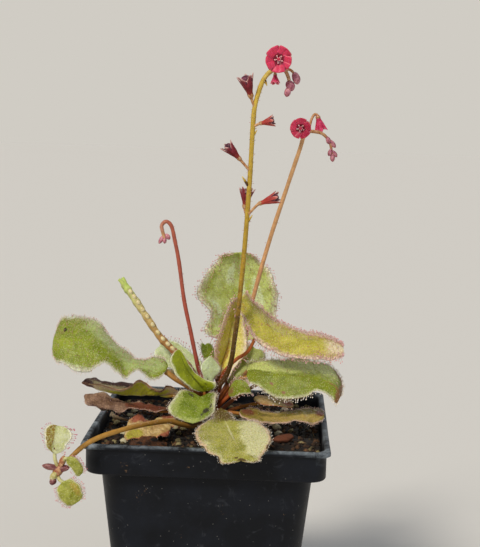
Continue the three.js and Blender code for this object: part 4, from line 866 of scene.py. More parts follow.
# From the back to the front
LEAVES = {
    "leaf_back_upright": dict(
        stalk=[(0, 1.1, 76.8), (1.4, 5, 81.6), (3, 9.5, 87), (5.6, 15, 91.6)], join=(0.4, 1, 2),
        spine=[(8, 20, 95), (7.7, 23, 99), (7.2, 26, 103.5), (6.6, 27.5, 108.8), (6.1, 28, 115),
               (5.7, 27, 119.8), (5.6, 25, 122.8)],
        left=[(-4.6, 20.5, 98), (-3, 21.5, 103.6), (-7.4, 22, 108.6), (-5, 23, 115.4), (-0.7, 24, 120)],
        right=[(20, 20.5, 99.6), (18.6, 21.5, 104.3), (18.8, 22.5, 109.4), (16.6, 23.5, 116),
               (11.6, 24.5, 121)], wave=(3, 0.4, 0.2),
        skin="pale", slot="leaf_pale", spacing=0.55, crinkle=0.45, quilt=0.16, hairs=1.3,
        hair_size=(0.35, 0.8), redness=0.05, fringe=((-1, 0.1, 3, 0.6, 1.4), (1, 0.1, 3, 0.6, 1.3)),
        # The four long narrow pale zones are painted sheen: streaks of highlight along the blade
        zones=((2.6, 0.5, 1.6, 0.22, 0.9), (3.2, 0.12, 1.8, 0.14, 0.8), (4.2, -0.35, 1, 0.14, 0.7),
               (2, -0.75, 1.2, 0.12, 0.6)),
        blotches=((2.2, -0.4, 0.5, 0.16, 0.5), (1.4, 0.5, 0.4, 0.14, 0.5)),
    ),
    "leaf_back_low_left": dict(
        stalk=[(-1.6, 0.2, 75.4), (-4.2, 6, 79.2), (-6, 11, 82)],
        spine=[(-7, 12.5, 82.4), (-10, 17, 83.5), (-13, 22, 83.8), (-15, 26.5, 82.4)],
        left=[(-16, 14.5, 84.2), (-20, 21, 83.6)], right=[(-3.5, 20, 84.2), (-6, 26, 83.2)],
        skin="olive", slot="leaf_olive", hairs=0.3,
    ),
    "leaf_back_low_right": dict(
        stalk=[(1.5, 0.2, 75.8), (6, 5.5, 79), (12, 11, 82)],
        spine=[(13.5, 12, 82.6), (17, 15.5, 84), (21, 19, 84.3), (25, 22, 82.6)],
        left=[(12.5, 20.5, 84.8), (17, 25.5, 84)], right=[(22.5, 12, 84.4), (26.5, 15, 84)],
        skin="olive", slot="leaf_olive", hairs=0.3,
    ),
    "leaf_right_yellow": dict(
        stalk=[(1.1, -1, 81.6), (2.1, -1.5, 86), (3.4, -2, 89.6), (6.6, -2, 93.2), (10.6, -2.5, 96.6)],
        join=(2.1, 2.7, 3.4),
        spine=[(8, -2, 112.6), (10, -2.2, 110.2), (14.3, -3, 105.4), (20.7, -4, 101.5),
               (27.3, -6, 100.4), (33.2, -8, 100), (38.6, -10.5, 99.3)],
        left=[(10.4, 1.6, 112), (15, 4, 107), (21, 4, 103.4), (27.4, 2, 102.1), (33.7, -1.5, 101.5)],
        right=[(7.8, -5.3, 107.6), (12.7, -7.6, 100.8), (19.1, -9.5, 97.2), (26.8, -11, 96),
               (34, -12, 96.7)], wave=(4, 0.35, 0.1),
        skin="yellow", slot="leaf_yellow", stalk_skin="red", spacing=0.36, crinkle=0.3, quilt=0.12,
        hairs=2.2, hair_size=(0.3, 0.7), redness=-0.15,
        fringe=((-1, 0.2, 6, 0.4, 1.3), (1, 0.1, 3, 0.5, 1.5), (-0.6, 4, 4, 0.45, 1.1),
                (0.8, 4.4, 5, 0.4, 1.2)), zones=((6, 0, 1.3, 1.6, 0.8), (4.6, -0.9, 1.6, 0.3, 0.8)),
        blotches=((0.5, 0.6, 1.2, 0.6, 0.4),),
    ),
    "leaf_right_trough": dict(
        stalk=[(0.5, 0.1, 80.9), (0.9, 1.2, 83)], stalk_radius=(0.95, 0.9), join=(0.2, 0.6),
        spine=[(1.3, 2, 84.8), (1.9, 4.5, 89.7), (3.5, 6, 96.1), (4.9, 5.5, 103.5), (7, 3.6, 111.4)],
        left=[(0, 1.8, 89.2), (-0.1, 1.2, 96), (2.4, 1.8, 105.4)],
        right=[(5.6, 2, 88.6), (9.8, 3.4, 95.2), (8.9, 4.4, 104.4)], base=1.4,
        skin="trough", slot="leaf_tan", stalk_skin="red", crinkle=0.35, quilt=0.12, hairs=0.9,
        hair_size=(0.25, 0.6), redness=-0.3, fringe=((-1, 0.4, 4, 0.45, 1.5), (1, 0.6, 2, 0.55, 1.4)),
        zones=((0.2, 0, 0.9, 2, 1), (1.2, 0.1, 1.2, 0.3, 0.9)), blotches=((0.1, 0, 0.6, 2, 0.9),),
    ),
    "leaf_right_green": dict(
        stalk=[(1.6, -1.7, 79.2), (3.6, -2.6, 83.4), (6.4, -3, 86.6)],
        spine=[(10.4, -3, 89.8), (14.8, -5.5, 90), (20.5, -7.5, 90), (26.7, -9, 90.3), (32.4, -10, 90),
               (36.6, -11.5, 88.4), (37.8, -13, 85)],
        left=[(12.8, 1, 92.2), (20.3, 4, 92.8), (27.7, 4, 93), (34, 1, 92.4), (38.2, -3, 89.5)],
        right=[(13.2, -8, 87), (20.1, -11.5, 84), (26.8, -13, 85.1), (31.4, -13.5, 87.2),
               (35.4, -14, 85.7)], wave=(4, 0.25, 0.4),
        skin="green", slot="leaf_green", spacing=0.38, crinkle=0.3, quilt=0.14, hairs=1.4,
        hair_size=(0.25, 0.55), redness=-0.1, fringe=((-1, 0.2, 3, 0.45, 1.2), (1, 0.2, 2, 0.5, 1.3)),
        # The pale zone over the upper half is partly its own paler tissue and partly painted light,
        # where that half faces up to the lamp
        zones=((2.2, -0.62, 3.2, 0.5, 1),),
        blotches=((5.9, 0.1, 0.9, 1.6, 1), (4.9, 0.15, 0.8, 0.12, 0.6), (1.6, 0.5, 0.14, 0.08, 1),
                  (2.2, 0.75, 0.12, 0.07, 1), (3, 0.02, 1.4, 0.05, 0.6), (5.2, -0.95, 1, 0.3, 0.8)),
    ),
    "leaf_right_narrow": dict(
        stalk=[(1.5, -1.9, 75.4), (4.4, -3.6, 77.2)],
        spine=[(8.5, -6, 78.3), (13.1, -7, 77.9), (19.1, -8, 77.2), (25.7, -9, 78.3), (30.7, -8, 78.6),
               (34, -6.4, 78.2)],
        left=[(12.9, -3.4, 78.5), (19.1, -4, 77.7), (25.7, -4, 78.9), (30.4, -3.6, 79.7)],
        right=[(11.7, -10, 76.9), (18.6, -11, 76.3), (25.7, -12, 77.3), (30.6, -10.4, 76.6)], base=1.4,
        wave=(2, 0.3, 0.1),
        skin="olive", slot="leaf_olive", spacing=0.4, crinkle=0.75, quilt=0.2, hairs=0.6,
        fringe=((1, 0.4, 3, 0.42, 0.7), (-1, 0.4, 3, 0.45, 0.8)),
        zones=((3, 0.4, 2.2, 0.7, 1), (1.4, -0.6, 1.2, 0.3, 0.8)),
        blotches=((4.6, -0.2, 0.7, 0.7, 0.8), (0.5, 0, 0.8, 1, 0.7)),
    ),
    "leaf_right_low": dict(
        stalk=[(1.9, -0.3, 74.4), (6.5, 0, 77.4)],
        spine=[(12.5, -1.8, 81.2), (16.8, -4, 81), (21, -5, 81), (24.5, -6, 80.6)],
        left=[(16.8, -0.4, 82), (21.2, -1.6, 82)], right=[(16.3, -6.6, 80.4), (21, -7.6, 80.4)],
        skin="dying", slot="leaf_tan", crinkle=0.4, hairs=0.3, blotches=((2.6, 0, 0.8, 1, 0.8),),
    ),
    "leaf_crown_back": dict(
        stalk=[(1.6, -0.3, 78), (3.6, 0.8, 81)],
        spine=[(5.3, 1.8, 83.8), (6.9, 3.8, 86.9), (9.2, 5.6, 90.5), (12.5, 6.8, 95)],
        left=[(4.2, 5.6, 87.9), (5.9, 8, 93.4)], right=[(10.7, 2.8, 86.6), (14.7, 5, 90.7)],
        wave=(2, 0.3, 0.1),
        skin="pale", slot="leaf_pale", stalk_skin="red", spacing=0.38, crinkle=0.35, quilt=0.14,
        hairs=1.2, fringe=both(0.2, 2, 0.5, 1),
        blotches=((1.3, 0.7, 0.7, 0.4, 0.8), (0.4, 0, 0.5, 1, 0.6)),
    ),
    "leaf_crown_front": dict(
        stalk=[(0.8, -2.3, 77.4), (3, -3.9, 80.4)],
        spine=[(4.8, -4.7, 83.2), (7.2, -5.8, 85.3), (9.4, -6.8, 86), (11.6, -8, 85.2)],
        left=[(7, -5, 88), (9.2, -5.8, 88)], right=[(8, -8.6, 83.9), (10.8, -9.4, 84.6)],
        wave=(2, 0.25, 0.3),
        skin="green", slot="leaf_green", stalk_skin="red", spacing=0.34, crinkle=0.3, quilt=0.12,
        hairs=1.2, fringe=((-1, 0.2, 3, 0.5, 1.1), (1, 0.2, 2, 0.55, 1.1)),
        blotches=((0.3, 0, 0.6, 1, 0.7),),
    ),
    "leaf_back_pale": dict(
        stalk=[(-0.8, 0.9, 77.4), (-1.4, 3.4, 81.6)],
        spine=[(-2.9, 4.8, 85), (-6.8, 7.2, 88), (-11.9, 9, 91), (-18, 10, 94)],
        left=[(-9.9, 6, 85.8), (-16.4, 7, 88.7)], right=[(-5.3, 9, 90.6), (-11.5, 11, 95)],
        skin="mint", slot="leaf_pale", crinkle=0.35, quilt=0.12, hairs=0.8,
        blotches=((1.5, 0.2, 0.9, 0.5, 0.3),),
    ),
    "leaf_back_small": dict(
        stalk=[(-0.7, 0.3, 82), (-0.9, 2.9, 85)],
        spine=[(-0.5, 4.8, 87.2), (-2, 6.6, 90.5), (-3.4, 7.2, 95.6)], left=[(-4.4, 6.4, 93)],
        right=[(-0.4, 7.8, 93.3)],
        skin="round", slot="leaf_green", crinkle=0.3, hairs=0.9,
    ),
    "leaf_left_large": dict(
        stalk=[(-2, -1.2, 79), (-3.7, -1.9, 81.6), (-7, -3.6, 84.6), (-11.4, -4.6, 87.4)],
        stalk_radius=(1, 0.9),
        spine=[(-13.7, -4.5, 90.9), (-17.2, -6, 91), (-22.2, -7, 91.8), (-26, -7.5, 92.3),
               (-31, -8.5, 95.7), (-35.8, -9, 97.5), (-40.7, -8.5, 98.5), (-45.2, -7.5, 98.4),
               (-48.6, -5.5, 97)],
        left=[(-17.8, -10.5, 88.2), (-22.1, -10.5, 90.8), (-25.6, -12, 88.4), (-31.1, -12.5, 93.2),
              (-36.3, -14, 90.7), (-41.1, -14, 91.3), (-44.8, -12.5, 92.6)],
        right=[(-17.8, -1, 93), (-21.6, -2, 92.2), (-25.1, -1, 92.9), (-31.4, 1.5, 97.6),
               (-36.8, 4, 102.6), (-42, 5, 103.9), (-46.2, 4, 103.7)], wave=(3, 0.3, 0.15),
        skin="large", slot="leaf_green", stalk_skin="tan", spacing=0.4, crinkle=0.5, quilt=0.18,
        hairs=1.9, hair_size=(0.3, 0.7), redness=-0.2,
        fringe=((-1, 0.2, 3, 0.4, 0.9), (1, 0.2, 7, 0.36, 1, 6.4), (1, 6.4, 3, 0.42, 1)),
        zones=((1.8, 0.2, 2.2, 1.2, 0.9), (3.8, 0.7, 2.4, 0.5, 0.9), (6.5, -0.95, 2.5, 0.25, 0.5)),
        blotches=((6.9, 0.45, 0.16, 0.09, 1),),
    ),
    "leaf_crown_mint": dict(
        stalk=[(-0.6, -1.5, 82), (-1.2, -1.9, 83.4)], stalk_radius=(0.6, 0.5),
        spine=[(-1.6, -2.2, 84.5), (-1.5, -2.2, 87.3), (-1.4, -1.9, 90.4), (-1.4, -1.2, 94)],
        left=[(-3, -2.8, 87.3), (-3.9, -2.8, 90.5)], right=[(0.3, -1.6, 87.1), (2.2, -1, 89.7)], tip=2,
        skin="mint", slot="leaf_pale", spacing=0.28, quilt=0.12, hairs=1.6, hair_size=(0.2, 0.4),
        fringe=both(0.1, 2, 0.42, 0.7), blotches=((0.9, -0.3, 0.3, 0.15, 0.7),),
    ),
    "leaf_crown_bright": dict(
        stalk=[(-1.3, -2.5, 80.6), (-2.2, -4, 82.2)], stalk_radius=(0.6, 0.5),
        spine=[(-2.4, -4.4, 83.6), (-4, -4.9, 85.6), (-6.4, -5, 88.4), (-8.8, -4.8, 91.9),
               (-10.5, -4.4, 96.3)], left=[(-7, -6.8, 85.6), (-10.5, -7.6, 88.7), (-12.6, -6.8, 92.6)],
        right=[(0.9, -6.6, 86.9), (-4.3, -4.8, 88.7), (-7.5, -4.8, 92.4)], tip=1.5,
        skin="lime", slot="leaf_green", spacing=0.32, crinkle=0.3, quilt=0.1, hairs=0.5,
        hair_size=(0.2, 0.4), redness=-0.5, fringe=both(0.1, 2, 0.36, 0.55),
        zones=((1.8, 0.06, 2.4, 0.24, 0.9),),
        blotches=((1.1, 0.55, 0.2, 0.1, 0.7), (0.8, 0.2, 0.2, 0.2, 0.6)),
    ),
    "leaf_left_folded": dict(
        stalk=[(-2.1, -0.3, 76), (-4.8, -0.9, 79.4)],
        spine=[(-10.1, -2.6, 82.3), (-13.7, -3, 81.9), (-16.7, -3.4, 81.8), (-19.7, -3.6, 81.7),
               (-22.9, -3.8, 81.6), (-27.6, -4, 81.7), (-33.1, -4, 82.5), (-40.1, -3, 84.5)],
        left=[(-14.1, -5, 85.2), (-16, -5.8, 83.7), (-18.9, -6, 85), (-22.6, -6.4, 87.2),
              (-26.5, -6.8, 83.6), (-32.8, -6.4, 84.4)],
        right=[(-14.1, 1, 82.6), (-17.3, 1.6, 82.5), (-20.4, 2, 83.1), (-24.2, 2.4, 83.5),
               (-28.9, 2.6, 83.8), (-35.1, 2, 84.6)], base=2, tip=1.4,
        skin="folded", slot="leaf_olive", spacing=0.4, crinkle=0.6, quilt=0.16, hairs=0.15,
        fringe=((-1, 0.6, 1, 0.9, 0.5), (1, 0.6, 1, 1.2, 0.4)), zones=((3.4, -0.45, 3.4, 0.5, 1),),
        blotches=((5, 1, 2.4, 0.55, 1), (6.8, 0, 0.5, 1.4, 1), (2.8, 1, 1.2, 0.16, 0.7),
                  (1.2, -1, 1.4, 0.14, 0.8)),
    ),
    "leaf_left_dry": dict(
        stalk=[(-1.9, -1.7, 76), (-5, -4.6, 77.6)],
        spine=[(-12, -7.6, 78.8), (-16.9, -9.4, 79.2), (-21.9, -10.6, 79.8), (-26.9, -11.2, 80.5),
               (-32.6, -11.2, 81.3), (-38.2, -9.6, 82.3)],
        left=[(-16.6, -12, 78.7), (-21.6, -13, 79.4), (-26.8, -13.8, 79.1), (-34, -13.2, 79.5)],
        right=[(-17.7, -8.2, 80), (-22.4, -8.8, 79.4), (-27.2, -9, 81), (-32.4, -9, 82.6)], base=2,
        wave=(2, 0.4, 0.3),
        skin="dry", slot="leaf_dry", spacing=0.38, crinkle=0.95, quilt=0.3, hairs=0.1,
        fringe=((-1, 0.6, 1, 1.2, 0.5), (1, 0.6, 1, 1.6, 0.4)), zones=((1.5, 0, 1.6, 1.4, 1),),
        blotches=((3, 0.5, 1.4, 0.3, 0.7), (3.8, -0.9, 1.4, 0.2, 0.6)),
    ),
    "leaf_soil_dying": dict(
        stalk=[(-1.4, -2.1, 72.7), (-4.6, -5.4, 73.8)],
        spine=[(-7.6, -8, 76.3), (-11, -10.6, 75.8), (-14, -13, 75.5), (-17.6, -15, 75),
               (-20.9, -16.6, 74.7), (-23.4, -18, 74.1), (-24.5, -19.6, 72.8)],
        left=[(-11.4, -13.6, 74.5), (-12.4, -18, 73), (-16.2, -19.4, 72.4), (-18.8, -19, 73.3),
              (-22.2, -20, 72.6)],
        right=[(-12, -7, 76.8), (-16, -8.6, 76.6), (-18.8, -10.6, 76), (-21.2, -10.6, 77.4),
               (-23.8, -13.4, 76.7)],
        skin="dying", slot="leaf_tan", spacing=0.36, crinkle=1, quilt=0.3, hairs=0.25, redness=0.1,
        fringe=both(0.6, 1, 0.9, 0.5), zones=((4.8, -0.5, 1.2, 0.7, 1), (3.2, 0.1, 0.8, 0.4, 0.5)),
        blotches=((1, 0.8, 1.2, 0.5, 0.9), (3.9, 0.8, 1.4, 0.4, 0.9), (2, -0.9, 0.7, 0.2, 0.9)),
    ),
    "leaf_soil_rotten": dict(
        spine=[(-11.8, -21.6, 72), (-14.9, -22.6, 72.8), (-18.1, -22.8, 72.9), (-20.7, -22.6, 72.5),
               (-22.9, -22, 71.6)],
        left=[(-14.6, -25.2, 71.8), (-17.4, -25.4, 71.7), (-20.1, -25, 71.6)],
        right=[(-14.8, -21, 73.2), (-17.9, -21, 73.7), (-20.6, -21, 73)], wave=(3, 0.3, 0),
        skin="rotten", slot="leaf_rust", spacing=0.34, crinkle=0.9, quilt=0.4, fringe=(),
        blotches=((1.2, 0.3, 0.5, 0.4, 0.9), (2.6, -0.3, 0.5, 0.4, 0.8)),
    ),
    "leaf_front_round": dict(
        stalk=[(-0.9, -2.7, 78.4), (-1.6, -4.6, 80.2)],
        spine=[(-3.4, -6.2, 82.4), (-4.2, -10, 80.8), (-4.7, -14, 79), (-4.9, -16.6, 76.9)],
        left=[(-10.6, -5.8, 83.4), (-12.8, -11, 79.9)], right=[(1.4, -6.8, 83.2), (1.4, -12.6, 80.4)],
        tip=0.72, wave=(2, 0.25, 0),
        skin="round", slot="leaf_green", spacing=0.32, quilt=0.12, hairs=1.5, hair_size=(0.2, 0.4),
        redness=-0.4, fringe=((-1, 0.1, 4, 0.36, 0.7), (1, 0.1, 4, 0.36, 0.8)),
        zones=((1.6, -1, 1.6, 0.45, 0.8), (1.6, 1, 1.4, 0.3, 0.7), (2.9, 0, 0.5, 1.4, 0.8)),
        blotches=((2, 0.6, 0.34, 0.2, 0.9), (1.7, 0.8, 0.2, 0.1, 0.7), (0.5, -0.5, 0.25, 0.25, 0.7),
                  (2.3, 0.45, 0.2, 0.1, 0.7)),
    ),
    "leaf_front_rim": dict(
        stalk=[(0.2, -2.8, 75.6), (1, -6.2, 77), (2.8, -11.4, 79)], join=(0.5, 1.4, 2.4),
        spine=[(3.2, -15.5, 81.6), (4.6, -21.4, 80), (6.4, -27, 78.6), (8.2, -33, 77.1),
               (9.6, -38.4, 75.6), (10.3, -41.4, 74.2)],
        left=[(1, -21, 79.5), (-3.3, -26.4, 77.6), (-1.4, -35.6, 76.6), (3.9, -41, 74.1)],
        right=[(7.9, -22.6, 79.8), (13.8, -25, 80.3), (18.3, -33.5, 78.8), (15.7, -40.8, 74.6)],
        base=1.4, wave=(2, 0.25, 0.1),
        skin="rim", slot="leaf_pale", spacing=0.36, crinkle=0.6, quilt=0.16, hairs=3.2,
        hair_size=(0.2, 0.45), redness=-0.5, fringe=((-1, 0.3, 5, 0.36, 0.6), (1, 0.3, 5, 0.36, 0.65)),
        zones=((3, 0.7, 1.6, 0.55, 0.9), (3.6, -0.9, 1.6, 0.2, 0.4), (2.2, -0.04, 1.5, 0.11, 0.65)),
        # The broad dark blotch at the base (0.4, 0) is painted shade, where the neck lies under the
        # round leaf
        blotches=((5, 0.1, 0.3, 0.8, 1), (4.6, -0.3, 0.2, 0.2, 0.7), (0.4, 0, 1.3, 3, 0.7),
                  (4.7, 0.95, 0.3, 0.1, 0.8), (3.4, 0.98, 0.3, 0.08, 0.7), (4.3, -1, 1, 0.06, 0.8)),
    ),
    "plantlet_leaf_upper": dict(
        stalk=[(-39.4, -42, 70.4), (-40.1, -42.6, 73)], stalk_radius=(0.55, 0.5),
        spine=[(-40.2, -42.4, 74.2), (-40.4, -42.6, 76.4), (-39.9, -42.4, 79.2), (-39.6, -41.6, 82)],
        left=[(-42.6, -43.4, 77.6), (-43, -42.6, 80.6)], right=[(-37, -43.4, 76.8), (-35.4, -43, 79.4)],
        base=1.6,
        skin="young", slot="leaf_pale", stalk_skin="cream", spacing=0.24, quilt=0.09, hairs=1,
        hair_size=(0.2, 0.4), redness=0.3, fringe=((-1, 0.2, 1, 0.55, 1.1), (1, 0.2, 1, 0.55, 1.4)),
        zones=((1.9, -0.62, 2.2, 0.5, 1),),
        blotches=((0.8, 0.1, 0.14, 0.16, 1), (1, -0.5, 0.2, 0.2, 0.6)),
    ),
    "plantlet_leaf_side": dict(
        stalk=[(-37.6, -42.4, 72.6), (-37.1, -43, 73.4)], stalk_radius=(0.5, 0.45),
        spine=[(-36.5, -43.4, 73.9), (-35.1, -43.8, 73), (-33.6, -44, 71.3), (-32.8, -43.4, 69.2)],
        left=[(-34, -43.6, 73.6), (-32.5, -43.6, 71.8)],
        right=[(-35.9, -44.4, 71.5), (-34.5, -44.4, 69.9)],
        skin="young_green", slot="leaf_olive", stalk_skin="cream", spacing=0.22, quilt=0.09, hairs=1,
        hair_size=(0.2, 0.4), redness=0.2, fringe=((-1, 0.2, 3, 0.4, 1), (1, 0.2, 1, 0.6, 0.8)),
    ),
    "plantlet_leaf_lower": dict(
        stalk=[(-39.6, -42.2, 68.4), (-38.7, -42.8, 67.2)], stalk_radius=(0.55, 0.5),
        spine=[(-37.7, -43.4, 66.9), (-36.8, -43.8, 65.8), (-35.7, -44, 64.3), (-34.7, -43.8, 62.6),
               (-33.9, -43.2, 61.1)],
        left=[(-34.5, -43.4, 67.4), (-32.9, -43.6, 66.2), (-32.4, -43.4, 64.2)],
        right=[(-39.2, -43.4, 63.9), (-38.6, -43.6, 62.1), (-37.1, -43.4, 60.7)],
        skin="young_green", slot="leaf_green", stalk_skin="cream", spacing=0.24, quilt=0.09, hairs=1.2,
        hair_size=(0.2, 0.4), redness=0.3, fringe=both(0.2, 2, 0.42, 1.1),
        zones=((2, -0.6, 1.6, 0.4, 0.7),),
    ),
}

# How deep the midrib lies under the blade at its first and last join, and the size of the
# faces that the hairs spread over
MIDRIB_UNDER = (0.75, 0.4)
HAIR_BED_SPACING = 1.0


def leaf_piece(name, leaf, seed):
    """A leaf: its blade, its stalk and midrib, and a second piece with its tentacles"""
    random = np.random.default_rng(seed)
    sheet = blade_sheet(leaf, seed)
    shells = [blade_shell(sheet, leaf)]
    if leaf["stalk"]:
        u = np.array(leaf["join"], float)
        deep = np.linspace(*MIDRIB_UNDER, len(u))[:, None]
        under = sheet["point"](u, 0 * u) - sheet["normal"](u, 0 * u) * deep
        stout, slim = leaf["stalk_radius"]
        radii = (stout, slim, slim, 0.75 * slim, 0.15)
        shells.append(tube([*leaf["stalk"], *under], radii, 14, 8, material=1))
    skins = [SKINS[leaf["skin"]], STALKS[leaf["stalk_skin"]]]
    place(mesh_of(name + "_blade", shells, skins), leaf["slot"], name)
    if not leaf["fringe"]:
        return
    rooted = rim_points(sheet, leaf["fringe"], random)
    u, t = blade_grid(sheet, HAIR_BED_SPACING)
    normal = sheet["normal"](u, t)
    points = (sheet["point"](u, t) + normal * 0.15).reshape(-1, 3)
    faces = grid_faces(np.arange(u.size).reshape(u.shape))
    a, b, c = points[np.array(faces)[:, :3].T]
    if np.cross(b - a, c - a).sum(0) @ normal.reshape(-1, 3).sum(0) < 0:
        faces = [face[::-1] for face in faces]
    grow = step(0.0, 0.5, np.minimum(u, sheet["spans"] - u)) * (0.5 + 0.5 * np.abs(t))
    bed = bed_of(name + "_bed", points, faces, grow.reshape(-1), rooted)
    hairs = scatter(name + "_tentacles", bed, SHORT_HAIR, TENTACLE, leaf["hairs"],
                    leaf["hair_size"], 0.35, leaf["redness"], seed, rooted=TENTACLE_ITEM)
    place(hairs, leaf["slot"])


for seed, (name, leaf) in enumerate(LEAVES.items()):
    leaf_piece(name, {**PLAIN_LEAF, **leaf}, 10 + seed)


# Pot
def square_ring(half, corner, z, per_side, per_corner):
    """A rounded square with so many points along each side and round each corner"""
    points = []
    middle = half - corner
    for side in range(4):
        turn = side * math.pi / 2
        cx = middle * (1 if side in (0, 3) else -1)
        cy = middle * (1 if side < 2 else -1)
        for k in range(per_corner):
            angle = turn + k / (per_corner - 1) * math.pi / 2
            points.append((cx + corner * math.cos(angle), cy + corner * math.sin(angle), z))
        for k in range(1, per_side + 1):
            along = middle * (1 - 2 * k / (per_side + 1))
            points.append((along * math.cos(turn) - half * math.sin(turn),
                           along * math.sin(turn) + half * math.cos(turn), z))
    return points


# Pot rings, worn spots and soil sides are measured in millimetres from the pot's middle
POT_RINGS = (
    # Half width, corner radius and height of each ring, up the outside to the lip
    (22.9, 6.2, 0), (23.4, 6.7, 0.1), (23.7, 7, 0.45), (23.9, 7, 2.5), (27.1, 7, 33),
    (30.35, 7, 64.6), (30.5, 7, 65.6), (30.75, 7, 65.95), (31.2, 6.5, 66), (33.4, 5, 66),
    (33.8, 5, 66.15), (34, 5, 66.6), (34, 5, 70), (34, 5, 73.2), (34.1, 4.9, 73.4),
    (34.4, 4, 73.5), (34.75, 2.7, 73.55), (34.95, 2.5, 73.75), (35, 2.5, 74.1),
    (34.97, 2.5, 74.6), (34.8, 2.5, 74.9), (34.5, 2.5, 75),
    # and down the inside to the floor
    (33.9, 2.5, 75), (33.5, 3.4, 74.85), (33.15, 4.1, 74.3), (33.1, 4.1, 72), (33.1, 4.1, 67),
    (29.6, 6.1, 66.9), (22.8, 6.1, 1.5),
)
SCUFFS = (
    # Where the lip is worn pale, and how far about
    (-34.9, -12, 74.6, 5), (-34.9, 14, 74.7, 6), (-33, -34.9, 74.8, 4), (12, -35, 74.9, 2),
    (34.9, -33, 74.4, 5), (34.9, -20, 74.7, 3),
)
# The thin walls bow in and out a little
POT_HALF = 34
WALL_BOW = 0.12
DRAIN_AT = 13
DRAIN_RADIUS = 3


def make_pot():
    rings = np.array([square_ring(*ring, 12, 10) for ring in POT_RINGS])
    bow = WALL_BOW * noise(rings * (1, 1, 0.3), 22, 3) * step(1, 8, rings[..., 2])
    rings[..., 0] *= 1 + bow / POT_HALF
    rings[..., 1] *= 1 - bow / POT_HALF
    wear_and_lip_highlight = np.zeros(rings.shape[:2])
    for x, y, z, reach in SCUFFS:
        away = np.linalg.norm((rings - (x, y, z)) * (1, 1, 2), axis=-1)
        wear_and_lip_highlight = np.maximum(wear_and_lip_highlight, 1 - step(0.4 * reach, reach, away))
    # A pale band along the whole top of the lip, stronger on its left side, is painted highlight, laid
    # into the same mark as the worn scuffs
    lip_highlight = step(74.2, 74.8, rings[..., 2])
    wear_and_lip_highlight = np.maximum(wear_and_lip_highlight, lip_highlight * (0.5 + 0.25 * step(-33.5, -34.6, rings[..., 0])))
    pot = mesh_of("nursery_pot", [ring_shell(rings, {"scuff": wear_and_lip_highlight})], [pot_skin()])
    cutter = mesh_of("drain_cutter", [
        tube([(x, y, -3), (x, y, 3)], (DRAIN_RADIUS, DRAIN_RADIUS), 32, 1)
        for x in (-DRAIN_AT, DRAIN_AT) for y in (-DRAIN_AT, DRAIN_AT)
    ])
    cut = pot.modifiers.new("Drain holes", "BOOLEAN")
    cut.object = cutter
    cut.operation = "DIFFERENCE"
    mesh = finished_mesh(pot)
    pot.modifiers.clear()
    pot.data = mesh
    bpy.data.objects.remove(cutter)
    place(pot, "pot_plastic", "pot")


# Peat
SOIL_LEVEL = 70.6
SOIL_SIDES = ((22.5, 6.1, 1.8), (29.3, 6.1, 67.2), (32.8, 4.1, 67.2), (32.8, 4.1, 69))
SOIL_RINGS = 44
CROWN = np.array([-0.2, -0.8])
PEAT_BITS = crumb_skin("peat crumbs", (
    (0.0, "#0c0907"), (0.4, "#1d140d"), (0.7, "#382517"), (0.88, "#6b4a2e"), (1.0, "#a8875a"),
))
GRIT = crumb_skin("pale grit and pumice", (
    (0.0, "#3a2f1e"), (0.35, "#6a5c38"), (0.75, "#a39668"), (1.0, "#d8d0b0"),
), rough=0.75)
LOOSE_BITS = (
    # Name, item, material, number for each square mm, sizes, wander, redness and seed
    ("peat_crumbs", CRUMB, PEAT_BITS, 0.42, (0.5, 1.7), 2, -0.1, 3),
    ("grit", PEBBLE, GRIT, 0.036, (0.9, 3.2), 2, 0, 7),
    ("peat_fibres", FIBRE, PEAT_BITS, 0.05, (1.5, 3.5), 3.5, 0.1, 5),
)


def soil_height(x, y):
    """The packed soil's swells and dips"""
    long = np.sin(0.21 * x + 0.8) * np.cos(0.17 * y - 0.4)
    short = np.sin(0.55 * x - 1.1 + 0.2 * y) * np.sin(0.48 * y + 0.6)
    return SOIL_LEVEL + 0.55 * (long + 0.6 * short)


def upward(points, face):
    """Above 0 where a face looks up"""
    a, b, c = (points[face[k]] for k in range(3))
    return np.cross(b - a, c - a)[2]


def make_soil():
    low = np.array([square_ring(*ring, 24, 6) for ring in SOIL_SIDES])
    top = []
    for k in range(SOIL_RINGS):
        ring = low[-1] * (1, 1, 0) * (1 - k / SOIL_RINGS)
        rough = 0.45 * noise(ring, 2.1, 1) + 0.22 * noise(ring, 0.9, 2)
        ring[:, 2] = soil_height(ring[:, 0], ring[:, 1]) + rough * (0.3 if k == 0 else 1)
        top.append(ring)
    place(mesh_of("peat", [ring_shell([*low, *top])], [peat_skin()]), "peat", "soil")
    count = len(low[0])
    points = np.concatenate(top[1:])
    faces = [face[::-1] if upward(points, face) < 0 else face
             for face in grid_faces(wrapped(SOIL_RINGS - 1, count))]
    grow = step(2.5, 5, np.hypot(points[:, 0] - CROWN[0], points[:, 1] - CROWN[1]))
    for name, item, material, *how in LOOSE_BITS:
        bed = bed_of(name + "_bed", points, faces, grow)
        place(scatter(name, bed, item, material, *how), "peat")


make_pot()
make_soil()


# Crown, scapes and runner
CROWN_PROFILE = (
    # Radius and height
    (1.9, 64), (2.3, 71), (2.35, 74), (2.3, 78), (2.05, 81), (1.6, 82), (1.2, 82.6), (0.6, 82.9),
)
CROWN_RINGS = 46
CROWN_SIDES = 36


